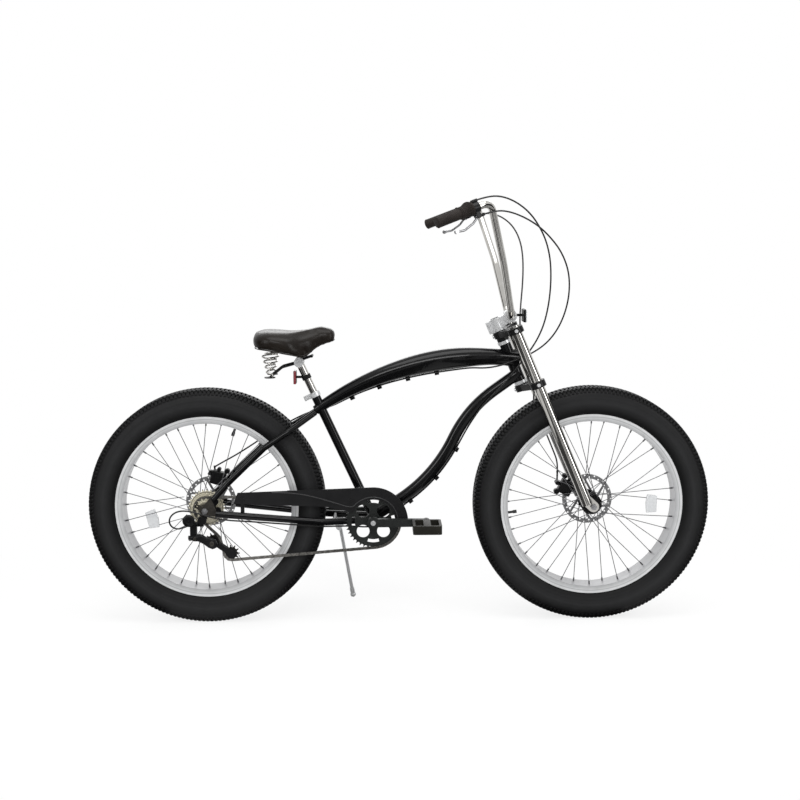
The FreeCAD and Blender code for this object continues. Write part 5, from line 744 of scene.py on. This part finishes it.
# Outer cage plate, in distances along and across the line from the guide to the tension pulley,
# and its levels of (place across the bike, share of the outline)
CAGE_PIVOT = Vector((-0.584, 0, 0.271))
CAGE_ALONG = Vector((0.818, 0, -0.575))
CAGE_ACROSS = Vector((0.575, 0, 0.818))
PLATE_MIDDLE = 0.048
plate_outline = [
    (0.015, 0.006), (0.024, 0.009), (0.040, 0.008), (0.054, 0.0095), (0.063, 0.012), (0.072, 0.011),
    (0.079, 0.006), (0.081, 0.0), (0.079, -0.010), (0.071, -0.016), (0.060, -0.013),
    (0.048, -0.008), (0.035, -0.009), (0.022, -0.009), (0.015, -0.006),
]
plate_levels = [(-0.0723, 1.0), (-0.0740, 1.0), (-0.0748, 0.86)]
levels = []
for y, grow in plate_levels:
    levels.append([CAGE_PIVOT + CAGE_ALONG * (PLATE_MIDDLE + (along - PLATE_MIDDLE) * grow)
                   + CAGE_ACROSS * across * grow + Vector((0, y, 0))
                   for along, across in plate_outline])
cage_plate = mesh_piece("derailleur_cage_plate", *stacked(levels), black_metal, smooth=False)
bevelled(cage_plate, 0.0005)
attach(cage_plate, "derailleur_cage")


# Chain guard: a raised lip round its opening that runs back along the plate, lighter than the guard
# as a painted highlight along its edge
GUARD_FACE = -0.0764
OPENING_CENTRE = Vector((-0.084, GUARD_FACE, 0.330))
OPENING_RADIUS = 0.079
LIP_RADIUS = 0.0016
LIP_START, LIP_SWEEP, LIP_STEPS = 146, 142, 8
lip_tail = [(-0.400, 0.4255), (-0.350, 0.4245), (-0.300, 0.418), (-0.262, 0.409), (-0.225, 0.398),
            (-0.190, 0.387)]
lip_route = [(x, GUARD_FACE, z) for x, z in lip_tail]
for step in range(LIP_STEPS + 1):
    outward = wheel_ways(math.radians(LIP_START - LIP_SWEEP * step / LIP_STEPS))[0]
    lip_route.append(tuple(OPENING_CENTRE + outward * OPENING_RADIUS))
guard_lip = route_tube("guard_lip", lip_route, LIP_RADIUS, guard_edge_highlight)
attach(guard_lip, "frame")


# Saddle: a padded leather cover over the base
saddle_stations = [
    # place along, half width, top, bottom
    (-0.457, 0.042, 0.905, 0.878), (-0.449, 0.068, 0.914, 0.870), (-0.430, 0.090, 0.922, 0.864),
    (-0.400, 0.104, 0.924, 0.860), (-0.365, 0.104, 0.922, 0.852), (-0.335, 0.096, 0.920, 0.845),
    (-0.300, 0.074, 0.922, 0.836), (-0.275, 0.056, 0.926, 0.850), (-0.248, 0.046, 0.932, 0.872),
    (-0.221, 0.040, 0.934, 0.882), (-0.205, 0.032, 0.930, 0.887), (-0.198, 0.020, 0.919, 0.893),
]
SADDLE_RINGS, SADDLE_CORNERS = 48, 48
WIDEST_SHARE = 0.42  # of a section's height, where it is widest
CROWN_SIDE, CROWN_TOP = 0.80, 0.85  # powers that fill out the crown
HOLLOW_DEPTH, HOLLOW_SHARE = 0.022, 0.35  # of the underside, at most and of the half width
HOLLOW_EDGE = 0.6  # share of the lower half that is hollow; the skirt is the rest
SKIRT_TUCK, SKIRT_BEND, SKIRT_FOOT = 0.07, 0.9, 0.93


def station_at(share):
    """Smoothly read station between the listed ones, share from 0 at the back to 1 at the nose."""
    last = len(saddle_stations) - 1
    spot = share * last
    index = min(int(spot), last - 1)
    t = spot - index
    rows = [saddle_stations[max(0, min(last, index + k))] for k in (-1, 0, 1, 2)]
    return [
        0.5 * (2 * b + (c - a) * t + (2 * a - 5 * b + 4 * c - d) * t * t
               + (3 * b - a - 3 * c + d) * t ** 3)
        for a, b, c, d in zip(*rows)
    ]


def saddle_section(share, shrink):
    """One section of the saddle: crowned above, a skirt and a hollow below."""
    x, half, top, bottom = station_at(share)
    half, top, bottom = half - shrink, top - shrink, bottom + shrink
    middle = bottom + (top - bottom) * WIDEST_SHARE
    hollow = min(HOLLOW_DEPTH, half * HOLLOW_SHARE)
    points = []
    for corner in range(SADDLE_CORNERS):
        angle = 2 * math.pi * corner / SADDLE_CORNERS
        out, up = math.cos(angle), math.sin(angle)
        inner = abs(2 * (angle - math.pi) / math.pi - 1)
        if up >= 0:
            y = half * math.copysign(abs(out) ** CROWN_SIDE, out)
            z = middle + (top - middle) * up ** CROWN_TOP
        elif inner > HOLLOW_EDGE:
            down = (1 - inner) / (1 - HOLLOW_EDGE)
            y = math.copysign(half * (1 - SKIRT_TUCK * down * down), out)
            z = middle - (middle - bottom) * down ** SKIRT_BEND
        else:
            inward = inner / HOLLOW_EDGE
            y = math.copysign(half * SKIRT_FOOT * inward, out)
            z = bottom + hollow * (1 - inward ** 2)
        points.append(Vector((x, y, z)))
    return points


def puffed(piece, voxel, pressure, cap):
    """Swells a closed cover by cloth pressure, with a cap on how far a point may move."""
    remesh = piece.modifiers.new("even", "REMESH")
    remesh.mode = "VOXEL"
    remesh.voxel_size = voxel
    mesh = evaluated_mesh(piece)
    piece.modifiers.clear()
    piece.data = mesh
    rest = [vertex.co.copy() for vertex in mesh.vertices]
    frames, stiffness = 20, 30.0
    cloth = piece.modifiers.new("cover", "CLOTH")
    cloth.settings.use_pressure = True
    cloth.settings.uniform_pressure_force = pressure
    cloth.settings.effector_weights.gravity = 0.0
    cloth.settings.tension_stiffness = stiffness
    cloth.settings.compression_stiffness = stiffness
    cloth.point_cache.frame_start = 1
    cloth.point_cache.frame_end = frames
    for step in range(1, frames + 1):
        scene.frame_set(step)
    swollen = evaluated_mesh(piece)
    piece.modifiers.clear()
    for vertex, start in zip(swollen.vertices, rest):
        move = vertex.co - start
        if move.length > cap:
            vertex.co = start + move.normalized() * cap
    piece.data = swollen
    scene.frame_set(1)


COVER_INSET = 0.003
sections = [saddle_section(ring / (SADDLE_RINGS - 1), COVER_INSET) for ring in range(SADDLE_RINGS)]
saddle = mesh_piece("saddle_cover", *stacked(sections), saddle_leather)
puffed(saddle, voxel=0.005, pressure=4.0, cap=0.006)
wear(saddle, saddle_leather)
saddle.data.polygons.foreach_set("use_smooth", [True] * len(saddle.data.polygons))
saddle.modifiers.new("soft", "SUBSURF").render_levels = 1
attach(saddle, "saddle_cushion")
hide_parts("saddle_cushion")

# Piping along both sides of the saddle's skirt, forward on the left and back on the right
SEAM_START, SEAM_RUN, SEAM_STEPS = 0.10, 0.84, 11
SEAM_OUT, SEAM_HEIGHT = 0.975, 0.14  # shares of the half width and of the height
PIPING_RADIUS = 0.0016
shares = [SEAM_START + SEAM_RUN * step / SEAM_STEPS for step in range(SEAM_STEPS + 1)]
seam_route = []
for side, order in ((1, shares), (-1, shares[::-1])):
    for share in order:
        x, half, top, bottom = station_at(share)
        seam_route.append((x, side * (half * SEAM_OUT), bottom + (top - bottom) * SEAM_HEIGHT))
seam_route.append(seam_route[0])
saddle_piping = route_tube("saddle_piping", seam_route, PIPING_RADIUS, saddle_leather)
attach(saddle_piping, "saddle_cushion")


# Floor, background and light
def seen_by_eye(tree):
    """One where a camera, glossy or transmission ray arrives."""
    path = tree.nodes.new("ShaderNodeLightPath")
    seen = path.outputs["Is Camera Ray"]
    for ray in ("Is Glossy Ray", "Is Transmission Ray"):
        either = tree.nodes.new("ShaderNodeMath")
        either.operation = "MAXIMUM"
        tree.links.new(seen, either.inputs[0])
        tree.links.new(path.outputs[ray], either.inputs[1])
        seen = either.outputs[0]
    return seen


def mixed_surface(tree, output_kind, share, first, second):
    """Sends a mix of two shaders to a tree's output."""
    mix = tree.nodes.new("ShaderNodeMixShader")
    output = tree.nodes.new(output_kind)
    tree.links.new(share, mix.inputs[0])
    tree.links.new(first.outputs[0], mix.inputs[1])
    tree.links.new(second.outputs[0], mix.inputs[2])
    tree.links.new(mix.outputs[0], output.inputs["Surface"])


# White to the eye, apart from part of the object's shadow near the middle
SHADE_RADIUS, CLEAR_RADIUS, SHADE_SHARE = 0.7, 1.7, 0.80
floor_finish = bpy.data.materials.new("pale_floor")
floor_finish.use_nodes = True
tree = floor_finish.node_tree
tree.nodes.clear()
plain = tree.nodes.new("ShaderNodeBsdfDiffuse")
plain.inputs["Color"].default_value = (0.92, 0.92, 0.92, 1.0)
glow = tree.nodes.new("ShaderNodeEmission")
glow.inputs["Strength"].default_value = 1.0
spot = tree.nodes.new("ShaderNodeTexCoord")
reach = tree.nodes.new("ShaderNodeVectorMath")
reach.operation = "LENGTH"
tree.links.new(spot.outputs["Object"], reach.inputs[0])
fade = tree.nodes.new("ShaderNodeMapRange")
fade.interpolation_type = "SMOOTHSTEP"
fade.inputs["From Min"].default_value = SHADE_RADIUS
fade.inputs["From Max"].default_value = CLEAR_RADIUS
fade.inputs["To Min"].default_value = SHADE_SHARE
fade.inputs["To Max"].default_value = 1.0
tree.links.new(reach.outputs["Value"], fade.inputs["Value"])
part_seen = tree.nodes.new("ShaderNodeMath")
part_seen.operation = "MULTIPLY"
tree.links.new(seen_by_eye(tree), part_seen.inputs[0])
tree.links.new(fade.outputs[0], part_seen.inputs[1])
mixed_surface(tree, "ShaderNodeOutputMaterial", part_seen.outputs[0], plain, glow)

FLOOR_SIZE = 14.0
floor_corners = [(-FLOOR_SIZE, -FLOOR_SIZE, 0), (FLOOR_SIZE, -FLOOR_SIZE, 0),
                 (FLOOR_SIZE, FLOOR_SIZE, 0), (-FLOOR_SIZE, FLOOR_SIZE, 0)]
floor = mesh_piece("floor", floor_corners, [(0, 1, 2, 3)], floor_finish, smooth=False)

world = bpy.data.worlds.new("studio")
scene.world = world
world.use_nodes = True
tree = world.node_tree
tree.nodes.clear()
room = tree.nodes.new("ShaderNodeBackground")
room.inputs["Color"].default_value = (1.0, 1.0, 1.0, 1.0)
room.inputs["Strength"].default_value = 0.45
clean = tree.nodes.new("ShaderNodeBackground")
clean.inputs["Color"].default_value = (1.0, 1.0, 1.0, 1.0)
clean.inputs["Strength"].default_value = 1.0
mixed_surface(tree, "ShaderNodeOutputWorld", seen_by_eye(tree), room, clean)


def soft_box(name, spot, aim, size, power):
    """A rectangular studio light at a spot, turned to what it lights."""
    light = bpy.data.lights.new(name, "AREA")
    light.shape = "RECTANGLE"
    light.size, light.size_y = size
    light.energy = power
    lamp = bpy.data.objects.new(name, light)
    scene.collection.objects.link(lamp)
    lamp.location = spot
    lamp.rotation_mode = "QUATERNION"
    lamp.rotation_quaternion = (Vector(spot) - Vector(aim)).to_track_quat("Z", "Y")


soft_box("top_light", (0.2, -0.6, 3.6), (0.0, 0.0, 0.5), (3.2, 1.8), 70.0)
soft_box("front_light", (-0.4, -3.9, 3.0), (0.0, 0.0, 0.6), (2.6, 0.8), 60.0)
soft_box("left_light", (-3.0, -2.6, 1.9), (-0.2, 0.0, 0.6), (1.0, 2.2), 45.0)
soft_box("right_light", (3.2, -2.2, 1.7), (0.3, 0.0, 0.6), (1.0, 2.2), 45.0)
soft_box("back_light", (0.0, 3.2, 2.4), (0.0, 0.0, 0.6), (3.0, 1.2), 35.0)


# Dark cards that only reflections see, so that bright metal and gloss paint keep their contrast
FRONT_LINE, FRONT_TOP = -5.4, 2.4
FLOOR_END, FLOOR_LIFT = 0.3, 0.004
SIDE_LINE, SIDE_NEAR, SIDE_FAR, SIDE_TOP = 4.6, -3.4, 0.6, 2.6
CARD_FOOT = 0.02
card_finish = worn("dark_card", (0.040, 0.040, 0.040), (0.055, 0.055, 0.055), 0.9, grain=60.0,
                   cloud=2.0, specular=0.1)


def dark_card(name, corners):
    """A card that the camera, soft light and shadows pass by."""
    card = mesh_piece(name, corners, [(0, 1, 2, 3)], card_finish, smooth=False)
    card.visible_camera = False
    card.visible_diffuse = False
    card.visible_shadow = False


card_strips = [(-5.0, -2.4), (-1.7, -0.75), (-0.35, 0.20), (0.38, 0.72), (1.05, 1.30), (1.6, 2.2),
               (2.9, 5.0)]
for index, (near, far) in enumerate(card_strips):
    dark_card("front_card_%d" % index, [
        (near, FRONT_LINE, CARD_FOOT), (far, FRONT_LINE, CARD_FOOT),
        (far, FRONT_LINE, FRONT_TOP), (near, FRONT_LINE, FRONT_TOP)])
    dark_card("floor_card_%d" % index, [
        (near, FRONT_LINE, FLOOR_LIFT), (far, FRONT_LINE, FLOOR_LIFT),
        (far, FLOOR_END, FLOOR_LIFT), (near, FLOOR_END, FLOOR_LIFT)])
for name, x in (("left_card", -SIDE_LINE), ("right_card", SIDE_LINE)):
    dark_card(name, [(x, SIDE_NEAR, CARD_FOOT), (x, SIDE_FAR, CARD_FOOT),
                     (x, SIDE_FAR, SIDE_TOP), (x, SIDE_NEAR, SIDE_TOP)])

scene.view_settings.view_transform = "Standard"
